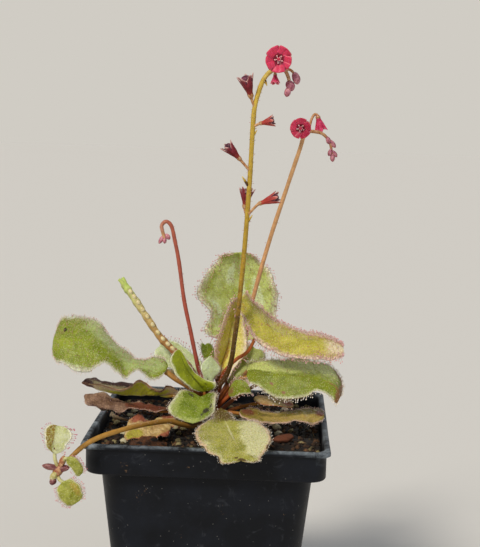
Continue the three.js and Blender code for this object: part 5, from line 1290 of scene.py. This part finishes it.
def make_crown():
    rows = np.linspace(0, 1, len(CROWN_PROFILE))
    radii, heights = (np.interp(np.linspace(0, 1, CROWN_RINGS), rows, values)
                      for values in zip(*CROWN_PROFILE))
    angle = turn_of(CROWN_SIDES)
    rings = []
    for radius, high in zip(radii, heights):
        ring = level_ring(angle, radius, radius, high) + (*CROWN, 0)
        scars = 0.05 * np.cos(9 * angle + 2.4 * high)
        rough = 1 + 0.08 * noise(ring * (1, 1, 0.6), 0.9, 4) + scars
        ring[:, :2] = CROWN + (ring[:, :2] - CROWN) * rough[:, None]
        rings.append(ring)
    skin = along_skin("old stem", (
        (0.0, "#3a2014"), (0.5, "#5a2f1a"), (0.8, "#7c4424"), (1.0, "#8c5a2c"),
    ), rough=0.7, relief=0.2)
    place(mesh_of("crown_stem", [ring_shell(rings)], [skin]), "crown_bark", "crown")


SCAPES = {
    "scape_tall": dict(
        points=[
            (-0.1, -2.4, 80), (0, -3.6, 82.6), (0.7, -4, 84.3), (2.2, -4.3, 86), (4, -5, 88.8),
            (5.4, -6, 93.6), (6.3, -7.5, 100.5), (7.2, -8.8, 109), (8.2, -9, 122), (9, -9, 136),
            (9.6, -9, 150), (10, -9, 164), (10.5, -9, 170), (12.2, -9, 176), (14, -9.3, 178.8),
            (16.2, -9.6, 180.3),
        ],
        radii=(0.85, 0.75, 0.7, 0.7, 0.65), slot="scape_tall_skin", hairs=0.9,
        # Its lower part is dark brown: its own red-brown at the crown, deepened up to about 0.45 along
        # as painted shade from the leaves over it
        skin=along_skin("tall scape", (
            (0.0, "#4c2614"), (0.3, "#4e3410"), (0.43, "#5e4416"), (0.53, "#aa8826"),
            (0.85, "#ceb046"), (1.0, "#d6be66"),
        ), coat=0.1),
        bracts=(
            ((9, -9.3, 146.6), (7.3, -9.8, 149.2)), ((9.4, -8.9, 159.6), (11.2, -9, 162.6)),
            ((8.7, -9, 135), (10.6, -9.2, 138)), ((12.9, -9, 177.2), (13.7, -9.4, 175.2)),
        ),
    ),
    "scape_leaning": dict(
        points=[
            (1.1, 0.5, 80), (3.4, 3.4, 83), (5.2, 6.6, 86.6), (7.5, 10, 90.8), (9.4, 12.5, 99.7),
            (11, 13, 110), (15.6, 12, 128.6), (21, 11.2, 147), (24, 10.4, 157), (25, 10, 160.6),
            (26.4, 9.8, 162.6),
        ],
        radii=(0.8, 0.7, 0.65, 0.6), slot="scape_peach_skin", hairs=0.15,
        skin=along_skin("leaning scape", (
            (0.0, "#8a4a2a"), (0.3, "#ad7450"), (0.6, "#cf9c6a"), (1.0, "#dcae78"),
        ), coat=0.1),
    ),
    "scape_short": dict(
        points=[
            (-1.5, 0.2, 80), (-2.6, 1.6, 84), (-4.7, 3, 88), (-6, 3, 93), (-7.8, 3, 101),
            (-9.9, 3, 110.3), (-11.7, 3, 121.9), (-13.1, 3, 128.6), (-14.2, 3, 132.8),
            (-15.8, 3, 134.2), (-17.2, 3, 133), (-16.9, 3, 131),
        ],
        radii=(0.75, 0.65, 0.6, 0.6, 0.55), slot="scape_pink_skin", hairs=0.15,
        skin=along_skin("short scape", (
            (0.0, "#8e3e34"), (0.4, "#a8503f"), (0.8, "#ad6048"), (1.0, "#c08a70"),
        ), coat=0.1),
    ),
    "runner": dict(
        points=[
            (-0.8, -2.5, 73.6), (-2.4, -7, 74), (-5.5, -13, 75.1), (-8.6, -17, 76.8),
            (-12.1, -20.5, 78.5), (-18.7, -29, 79.4), (-23.7, -34, 79.1), (-28.8, -37, 77.9),
            (-32.6, -39, 76.1), (-35, -41, 74.2), (-37, -42, 72),
        ],
        radii=(0.7, 0.75, 0.7, 0.65), slot="runner_skin", hairs=0.15,
        # Its tan is its own colour, darkened a little all along as painted shade
        skin=along_skin("runner", (
            (0.0, "#845422"), (0.3, "#9c6e28"), (0.7, "#ad8034"), (1.0, "#a87a34"),
        ), coat=0.15),
    ),
}


def ridges(t, angle):
    """Five faint ridges round a stem, and small swellings along it"""
    swells = 0.03 * math.sin(61 * t) + 0.02 * math.sin(143 * t)
    return 1 + 0.035 * np.sin(5 * angle + 8 * t) + swells


def scape_piece(name, stem, seed):
    """A scape with its bracts, and a second piece with its short hairs"""
    shells = [tube(stem["points"], stem["radii"], 16, 9, swell=ridges)]
    for ends in stem.get("bracts", ()):
        shells.append(tube(ends, (0.42, 0.36, 0.1), 8, 6))
    place(mesh_of(name + "_stem", shells, [stem["skin"]]), stem["slot"], name)
    points, faces, marks, _ = tube(stem["points"], stem["radii"], 8, 4)
    grow = step(0.02, 0.1, marks["along"]) * step(1, 0.9, marks["along"])
    bed = bed_of(name + "_bed", points, outward(points, faces), grow)
    hairs = scatter(name + "_hairs", bed, SHORT_HAIR, TENTACLE, stem["hairs"], (0.3, 0.6), 0.3,
                    -0.2, seed)
    place(hairs, stem["slot"])


# Rolled leaf
def make_rolled_leaf():
    points = [
        (-1.8, -0.6, 81.6), (-4.6, 0.2, 86.2), (-8.9, 2, 90.5), (-13, 4.2, 94),
        (-17.5, 5, 98.2), (-22.3, 6, 104.7), (-26.2, 6.6, 110.2), (-29.2, 7, 114),
    ]
    bumps = [0.7, 0.75, 0.7, 0.75] + [1.3, 1.05] * 6

    def folds(t, angle):
        ribs = 0.05 * np.sin(110 * t + 1.5 * np.sin(angle)) * step(0.25, 0.4, t)
        seam = -0.16 * np.exp(-((angle - 2.4 - 1.2 * t) / 0.35) ** 2)
        return 1 + ribs + seam

    shells = [tube(points, bumps, 26, 26, swell=folds)]
    for tip in ([(-28.6, 6.7, 113), (-29.6, 6.5, 114.6), (-30.6, 6.4, 115.5)],
                [(-28.6, 7.2, 113), (-29.1, 7.6, 114.8), (-29.6, 7.8, 115.9)]):
        shells.append(tube(tip, (0.85, 0.7, 0.45), 12, 6))
        shells[-1][2]["along"] = 0.9 + 0.1 * shells[-1][2]["along"]
    curve = smooth_curve(points)
    seam_side = unit(np.array([0.5, -0.85, 0.25]))
    for t in np.linspace(0.34, 0.9, 12):
        along = unit(curve(t + 0.02) - curve(t - 0.02))
        aside = unit(seam_side - along * np.dot(seam_side, along))
        shells.append(egg(curve(t) + aside * 0.95, along, 1.9, 1.3, material=1))
    skin = along_skin("rolled leaf", (
        (0.0, "#8a4a24"), (0.38, "#9c6034"), (0.52, "#ac7e48"), (0.66, "#bc9e62"), (0.8, "#c8bc80"),
        (0.92, "#c4cc78"), (1.0, "#b8cc66"),
    ), relief=0.15)
    beads = plant_skin("pale rolled margin", "#cdb87c", "#e4d8ac", lump=1.5, relief=0.06)
    place(mesh_of("rolled_leaf", shells, [skin, beads]), "leaf_stick", "leaf_rolled")


make_crown()
for seed, (name, stem) in enumerate(SCAPES.items()):
    scape_piece(name, stem, 50 + seed)
make_rolled_leaf()


# Flowers and buds. A fresh petal is thin and lets light through, with a paler margin and a
# dark throat; a withered one is nearly black, wrinkled and moist.
CRIMSON = plant_skin("fresh crimson petal", "#c62a50", "#d83e62", lump=3.0, edge="#e66c88",
                     zone="#84122f", band=8.0, rough=0.4, relief=0.03, thin=0.3)
PINK = plant_skin("fresh folded petal", "#b81a48", "#dc4a74", lump=1.5, edge="#e87a98",
                  zone="#7a1236", vein="#a81a44", rough=0.42, relief=0.05, thin=0.3)
MAROON = plant_skin("withered rolled petal", "#3c1424", "#84405a", lump=0.9, vein="#2a0a14",
                    rough=0.45, relief=0.2, thin=0.1)
MAUVE = plant_skin("bud scale", "#a05264", "#d4929c", lump=1.2, rough=0.4, relief=0.06)
CALYX = plant_skin("peach flower stalk", "#b0784c", "#d8b084", lump=1.4, vein="#a06a40",
                   relief=0.06)
ANTHER = plant_skin("anther and stigma", "#e8a0ac", "#f4ccc8", lump=0.6, relief=0.03)
OLD_DARK = along_skin("withered dark calyx", (
    (0.0, "#c88a5c"), (0.14, "#8e2e24"), (0.35, "#741a24"), (0.52, "#8a2c38"), (0.61, "#e0b8b0"),
    (0.68, "#3a0e1a"), (1.0, "#22060e"),
), relief=0.12)
OLD_RED = along_skin("withered red calyx", (
    (0.0, "#d0905e"), (0.14, "#b04434"), (0.35, "#a83632"), (0.54, "#b4504a"), (0.61, "#dca498"),
    (0.68, "#5a1820"), (1.0, "#300a12"),
), relief=0.12)


def calyx_ribs(v, angle):
    """Five sepals grown together"""
    return 1 + 0.12 * np.cos(5 * angle)


def swirl(v, angle):
    """Petals rolled round each other"""
    return 1 + 0.1 * np.sin(3 * angle + 9 * v) + 0.06 * np.sin(7 * angle - 14 * v)


def bud_scales(v, angle):
    """Five overlapping sepals, drawn to a point"""
    return (1 + 0.1 * np.cos(5 * angle + 3 * v)) * (1 - 0.25 * step(0.6, 1, v))


TRUMPET_SIDES = 40


def trumpet(name, stalk, mouth, wide, skin, slot, node, rolled=0.0, tips=(0.25, 1.4)):
    """A narrow flower with five lobes at its mouth, on a thin stalk that ends at its neck.
    A withered one holds its rolled petals in the mouth; tips are the lobes' length and point."""
    neck = np.array(stalk[-1], float)
    axis = np.array(mouth, float) - neck
    long = np.linalg.norm(axis)
    axis = axis / long
    across = unit(np.cross(axis, (1, 0, 0) if abs(axis[2]) > 0.8 else (0, 0, 1)))
    other = np.cross(axis, across)
    angle = turn_of(TRUMPET_SIDES)
    peak = (0.5 + 0.5 * np.cos(5 * angle)) ** tips[1]
    uneven = 1 + 0.25 * noise(level_ring(angle, 2, 2, neck[2]), 1.4, 6)
    # Up the outside to the mouth, then down the inside: station, share of the width, inner
    profile = [(v, np.interp(v, (0, 0.35, 0.7, 0.9), (0.3, 0.5, 0.85, 1.0)), 0)
               for v in np.linspace(0, 0.9, 14)]
    profile += [(v, np.interp(v, (0.35, 0.9), (0.42, 0.9)), 1) for v in np.linspace(0.88, 0.35, 9)]
    rings = []
    for v, share, _ in profile:
        lobe = tips[0] * step(0.5, 0.9, v)
        folds = 1 + 0.07 * np.sin(10 * angle) * step(0.1, 0.6, v)
        flare = 1 + 1.5 * lobe * peak * uneven - 0.8 * lobe * (1 - peak)
        radius = wide / 2 * share * folds * flare * 0.92
        along = long * (v + lobe * peak * uneven)
        ring = neck + np.outer(along, axis) + around(angle, radius, across, other)
        ring += 0.15 * wide / 4 * np.outer(noise(ring, 0.7, 6) * step(0.2, 0.6, v), across)
        rings.append(ring)
    marks = {
        "zone": np.array([[inner * step(0.8, 0.35, v)] for v, _, inner in profile]),
        "edge": np.array([[0.97 * step(0.5, 0.9, v)] for v, _, _ in profile]),
    }
    shells = [
        ring_shell(rings, marks),
        tube([*stalk, neck + axis * 0.3 * long], (0.38, 0.42, 0.4), 10, 6, material=1),
        egg(neck + axis * 0.16 * long, axis, 0.42 * long, 0.4 * wide, calyx_ribs, material=1),
    ]
    if rolled:
        shells.append(egg(neck + axis * 0.88 * long, axis, 0.5 * long, rolled * wide, swirl,
                          material=2))
    place(mesh_of(name, shells, [skin, CALYX, MAROON]), slot, node)


# Half the angle that a petal takes, at its widest and near its tip
PETAL_WIDE = 0.84
PETAL_NARROW = 0.6


def open_flower(name, centre, facing, radius, bowl, turn, back):
    """Five broad petals about a dark throat, with a ring of stamens"""
    c = np.array(centre, float)
    n = unit(np.array(facing, float))
    across = unit(np.cross(n, (0, 0, 1)))
    other = np.cross(n, across)

    def at(angle, r, lift):
        return c + across * (r * math.cos(angle)) + other * (r * math.sin(angle)) + n * lift

    shells = []
    for k in range(5):
        a = turn + k * 2 * math.pi / 5
        spine = ((0.5, 0), (0.5 * radius, 0.35 * bowl), (0.85 * radius, 0.75 * bowl),
                 (radius, bowl))
        petal = {**PLAIN_LEAF, "spine": [at(a, *row) for row in spine]}
        for side, sign in (("left", -1), ("right", 1)):
            petal[side] = [
                at(a + sign * PETAL_WIDE, 0.62 * radius, 0.3 * bowl + sign * 0.3),
                at(a + sign * PETAL_NARROW, 0.96 * radius, 0.7 * bowl + sign * 0.3),
            ]
        petal.update(base=1.2, crinkle=0.3, quilt=0, camber=0.2, spacing=0.2, thick=0.28,
                     zones=((0.1, 0, 0.9, 3, 1),))
        shells.append(blade_shell(blade_sheet(petal, 70 + k), petal))
    shells.append(tube([back, c - n * 0.9, c + n * 0.1], (0.45, 0.8, 1.1), 14, 6, material=1))
    shells.append(egg(c + n * 0.3, n, 1.0, 1.2))
    for number, reach, high, bead in ((5, 1.05, 0.8, 0.44), (6, 0.6, 1.15, 0.26)):
        for k in range(number):
            a = k * 2 * math.pi / number + 0.2
            tip = at(a, reach, high)
            shells.append(tube([at(a, 0.35, 0.3), tip], (0.1, 0.08), 6, 3, material=3))
            shells.append(egg(tip, n, 0.8 * bead, bead, material=3))
    piece = mesh_of(name + "_petals", shells, [CRIMSON, CALYX, MAROON, ANTHER])
    place(piece, "petal_crimson", name)


# The withered flowers: root and neck of the stalk, mouth, width and skin
for name, root, neck, mouth, wide, skin in (
    ("flower_old_1", (10.3, -9.2, 169), (9.3, -9.7, 171.6), (7.6, -11, 177.2), 4.2, OLD_DARK),
    ("flower_old_2", (10.2, -9.2, 163.6), (11.8, -9.6, 164.4), (15.6, -10, 165.4), 2.9, OLD_RED),
    ("flower_old_3", (9.5, -9.2, 150.8), (6.8, -9.9, 153.8), (3, -11, 157.8), 3.4, OLD_DARK),
    ("flower_old_4", (8.9, -8.6, 137.6), (8.2, -6.4, 139.6), (8.7, -5.2, 144.8), 4, OLD_DARK),
    ("flower_old_5", (9.2, -9.2, 138), (12.2, -10, 141.3), (17.4, -11, 143.5), 3.2, OLD_RED),
):
    trumpet(name + "_corolla", [root, neck], mouth, wide, skin, "petal_maroon", name, 0.8)
trumpet("pink_flower_tall", [(16, -9.6, 179.6), (15.9, -9.8, 178.8)], (16.1, -10.4, 175.9), 2.6,
        PINK, "petal_pink", "flower_pink_tall", tips=(0.14, 0.5))
trumpet("pink_flower_leaning", [(26.6, 10, 163.1), (27.2, 10.9, 166), (28.1, 11.2, 167.6),
                                (29, 11.4, 167.4)], (30.3, 11.9, 163), 3.6,
        PINK, "petal_pink", "flower_pink_leaning", tips=(0.2, 0.6))
open_flower("flower_open_tall", (16.8, -13, 182.6), (0.02, -1, -0.06), 3.8, 1, 0.3,
            (16.2, -10, 181))
open_flower("flower_open_leaning", (24, 6, 163.4), (-0.12, -1, -0.1), 3.2, 0.8, 0.9,
            (25, 9.6, 162))

BUDS = {
    # The stems as (points, radii), and the buds as (centre, direction, length, width)
    "buds_tall": (
        (
            ([(16.2, -9.6, 180.4), (18.4, -9, 180), (19.7, -9, 177.8), (20.2, -9, 175.4)], (0.6, 0.5)),
            ([(18.2, -9, 180), (20.2, -9, 179.9), (21.6, -9, 178.6)], (0.45, 0.35)),
        ), (
            ((21.9, -9, 177.6), (0.35, 0, -1), 3.4, 2.3), ((20.3, -9.2, 175.4), (0.5, 0, -1), 3, 2.6),
            ((19.6, -9.4, 173.6), (-0.2, 0, -1), 2.6, 1.9),
        ),
    ),
    "buds_leaning": (
        (([(26.4, 9.8, 162.6), (28.4, 10, 162.4), (30.4, 10, 162), (32, 10, 160.8),
           (33.2, 10, 159), (33.6, 10, 157), (34, 10, 155.4)], (0.55, 0.5, 0.45, 0.4)),), (
            ((32.5, 9.5, 159.9), (0.3, 0, -1), 2.2, 1.5), ((33.9, 10.1, 158.9), (0.8, 0, -1), 2.8, 1.4),
            ((33.2, 9.7, 156.3), (-0.3, 0, -1), 2.2, 1.4),
            ((34.6, 10.2, 155.9), (0.8, 0, -1), 2.4, 1.3), ((34, 10, 154.7), (0.1, 0, -1), 2.4, 1.5),
        ),
    ),
    "buds_short": (
        (([(-16.9, 3, 131), (-16.4, 3, 129.6), (-16.2, 3, 128.8)], (0.55, 0.5)),), (
            ((-15.3, 2.8, 129.6), (0.8, 0, -1), 2, 1.4), ((-17.3, 3, 128.6), (-0.5, 0, -1), 2.6, 1.3),
            ((-16.2, 2.9, 128.4), (0, 0, -1), 1.8, 1.2),
        ),
    ),
}
for name, (stems, buds) in BUDS.items():
    shells = [tube(points, radii, 12, 8, material=1) for points, radii in stems]
    for centre, towards, long, wide in buds:
        shells.append(egg(centre, towards, 1.08 * long, wide, bud_scales))
    place(mesh_of(name + "_cluster", shells, [MAUVE, CALYX]), "bud_mauve", name)


# Plantlet heart: the runner's swollen end, with old flower bases and young leaf points
HEART = (
    # Centre, direction, length, width and skin
    ((-39.4, -42, 69.4), (0.6, 0, 1), 4, 2.6, 1), ((-37.9, -42.2, 70.2), (1, 0, 0.25), 3.6, 1.8, 0),
    ((-38.2, -42.2, 72.2), (0.35, 0, 1), 3.6, 1.8, 1),
    ((-41.4, -42.4, 70.6), (-1, 0, 0.15), 4.6, 1.7, 0),
    ((-40.4, -42.8, 68.2), (-0.6, 0, -1), 3, 1.9, 2),
    ((-40.6, -42.8, 66.8), (-0.3, 0, -1), 2.4, 1.9, 0),
)
HEART_SKINS = (
    plant_skin("dusty rose young leaf", "#6a3438", "#b08078", lump=1.6, vein="#5a2a30",
               relief=0.08),
    plant_skin("orange-brown young base", "#96583a", "#dcb084", lump=1.4, vein="#8a4a22",
               relief=0.08),
    plant_skin("pale young base", "#b0a458", "#dcd2a8", lump=1.4, vein="#a09a58", relief=0.08),
)
heart = [egg(*bulb, bud_scales, number) for *bulb, number in HEART]
place(mesh_of("plantlet_heart_buds", heart, HEART_SKINS), "petal_maroon", "plantlet_heart")


# Litter on the peat
BARK_HALF = (3.2, 1.8, 0.85)
BARK_AT = (21.7, -13, 72.4)
BARK_TIP = 0.15
BARK_TURN = 0.5


def make_litter():
    long, wide, high = BARK_HALF
    rings = []
    for v in np.linspace(0.04, 0.96, 16):
        full = math.sin(v * math.pi) ** 0.6
        ring = level_ring(turn_of(28), long * full, wide * full, -high * math.cos(v * math.pi))
        rings.append(ring * (1 + 0.16 * noise(ring, 0.9, 8) + 0.1 * noise(ring, 2.5, 9))[:, None])
    turn = Matrix.Rotation(BARK_TIP, 3, "X") @ Matrix.Rotation(BARK_TURN, 3, "Z")
    flake = np.array(rings) @ np.array(turn).T + BARK_AT
    skin = crumb_skin("flaky bark", ((0.0, "#6b3a22"), (1.0, "#8a5232")))
    place(mesh_of("bark_piece", [ring_shell(flake)], [skin]), "bark", "bark_flake")

    def knots(t, angle):
        return 1 + 0.12 * np.sin(3 * angle + 20 * t) + 0.15 * math.sin(31 * t)

    wood = along_skin("weathered twig", ((0.0, "#a89880"), (0.5, "#8a7458"), (1.0, "#6a5238")),
                      rough=0.85, relief=0.2)
    twig = tube([(-32, 3.6, 73.2), (-30.6, 2.8, 72.8), (-28.6, 1.6, 72.5), (-26.4, 0.8, 72.3)],
                (0.85, 0.5, 0.4, 0.3), 14, 10, swell=knots)
    place(mesh_of("twig_bit", [twig], [wood]), "twig_wood", "twig")


make_litter()
for item in ITEMS:
    bpy.data.objects.remove(item)


# Floor, light and camera
FLOOR_HALF = 6.0
LAMPS = (
    # Name, where it shines from, power, spread in degrees and colour
    ("key", (-0.45, -0.75, 0.8), 2.5, 15, "#fff8ec"),
    ("fill", (0.5, -0.8, 0.25), 0.5, 60, "#f4f6ff"),
    ("back", (0.35, 0.8, 0.7), 0.6, 40, "#ffffff"),
)


def make_stage():
    material, _ = new_tree("pale matt floor")
    surfaced(material, "#d9d7d3", {"Roughness": 1.0, "Specular IOR Level": 0.0})
    mesh = bpy.data.meshes.new("floor")
    corners = [(x * FLOOR_HALF, y * FLOOR_HALF, 0) for x, y in ((-1, -1), (1, -1), (1, 1), (-1, 1))]
    mesh.from_pydata(corners, [], [(0, 1, 2, 3)])
    mesh.materials.append(material)
    linked("floor", mesh)

    world = bpy.data.worlds.new("studio")
    world.use_nodes = True
    world.node_tree.nodes.clear()
    tree = world.node_tree
    seen = add(tree, "ShaderNodeLightPath", out="Is Camera Ray")
    lit = add(tree, "ShaderNodeBackground", {"Color": "#e9edf2", "Strength": 0.26})
    shown = add(tree, "ShaderNodeBackground", {"Color": "#d0ccc4", "Strength": 1.0})
    mixed = add(tree, "ShaderNodeMixShader", {0: seen, 1: lit, 2: shown})
    add(tree, "ShaderNodeOutputWorld", {"Surface": mixed})
    bpy.context.scene.world = world

    for name, spot, power, spread, colour in LAMPS:
        light = bpy.data.lights.new(name, "SUN")
        light.angle = math.radians(spread)
        light.energy = power
        light.color = linear(colour)[:3]
        lamp = linked(name, light)
        lamp.location = spot
        lamp.rotation_mode = "QUATERNION"
        lamp.rotation_quaternion = (-Vector(spot)).to_track_quat("-Z", "Y")


# Where the photograph's camera stood in metres, its turn, tip and roll in degrees, and its lens
CAMERA_AT = (0.01924, -0.32958, 0.16531)
CAMERA_TURNS = (-2.107, 7.919, 1.602)
CAMERA_LENS = 72.57


def make_camera():
    """The photograph's view: turned a little left, tipped down, and rolled"""
    turn, tip, roll = (math.radians(v) for v in CAMERA_TURNS)
    ahead = Vector((math.sin(turn) * math.cos(tip), math.cos(turn) * math.cos(tip), -math.sin(tip)))
    right = Vector((math.cos(turn), -math.sin(turn), 0))
    over = right.cross(ahead)
    level = right * math.cos(roll) + over * math.sin(roll)
    over = over * math.cos(roll) - right * math.sin(roll)
    camera = bpy.data.cameras.new("camera")
    camera.lens = CAMERA_LENS
    camera.sensor_width = 36
    camera.clip_start = 0.02
    camera.clip_end = 50
    view = linked("camera", camera)
    stand = Matrix((level, over, -ahead)).transposed().to_4x4()
    stand.translation = CAMERA_AT
    view.matrix_world = stand
    bpy.context.scene.camera = view


make_stage()
make_camera()
bpy.context.scene.view_settings.view_transform = "Standard"
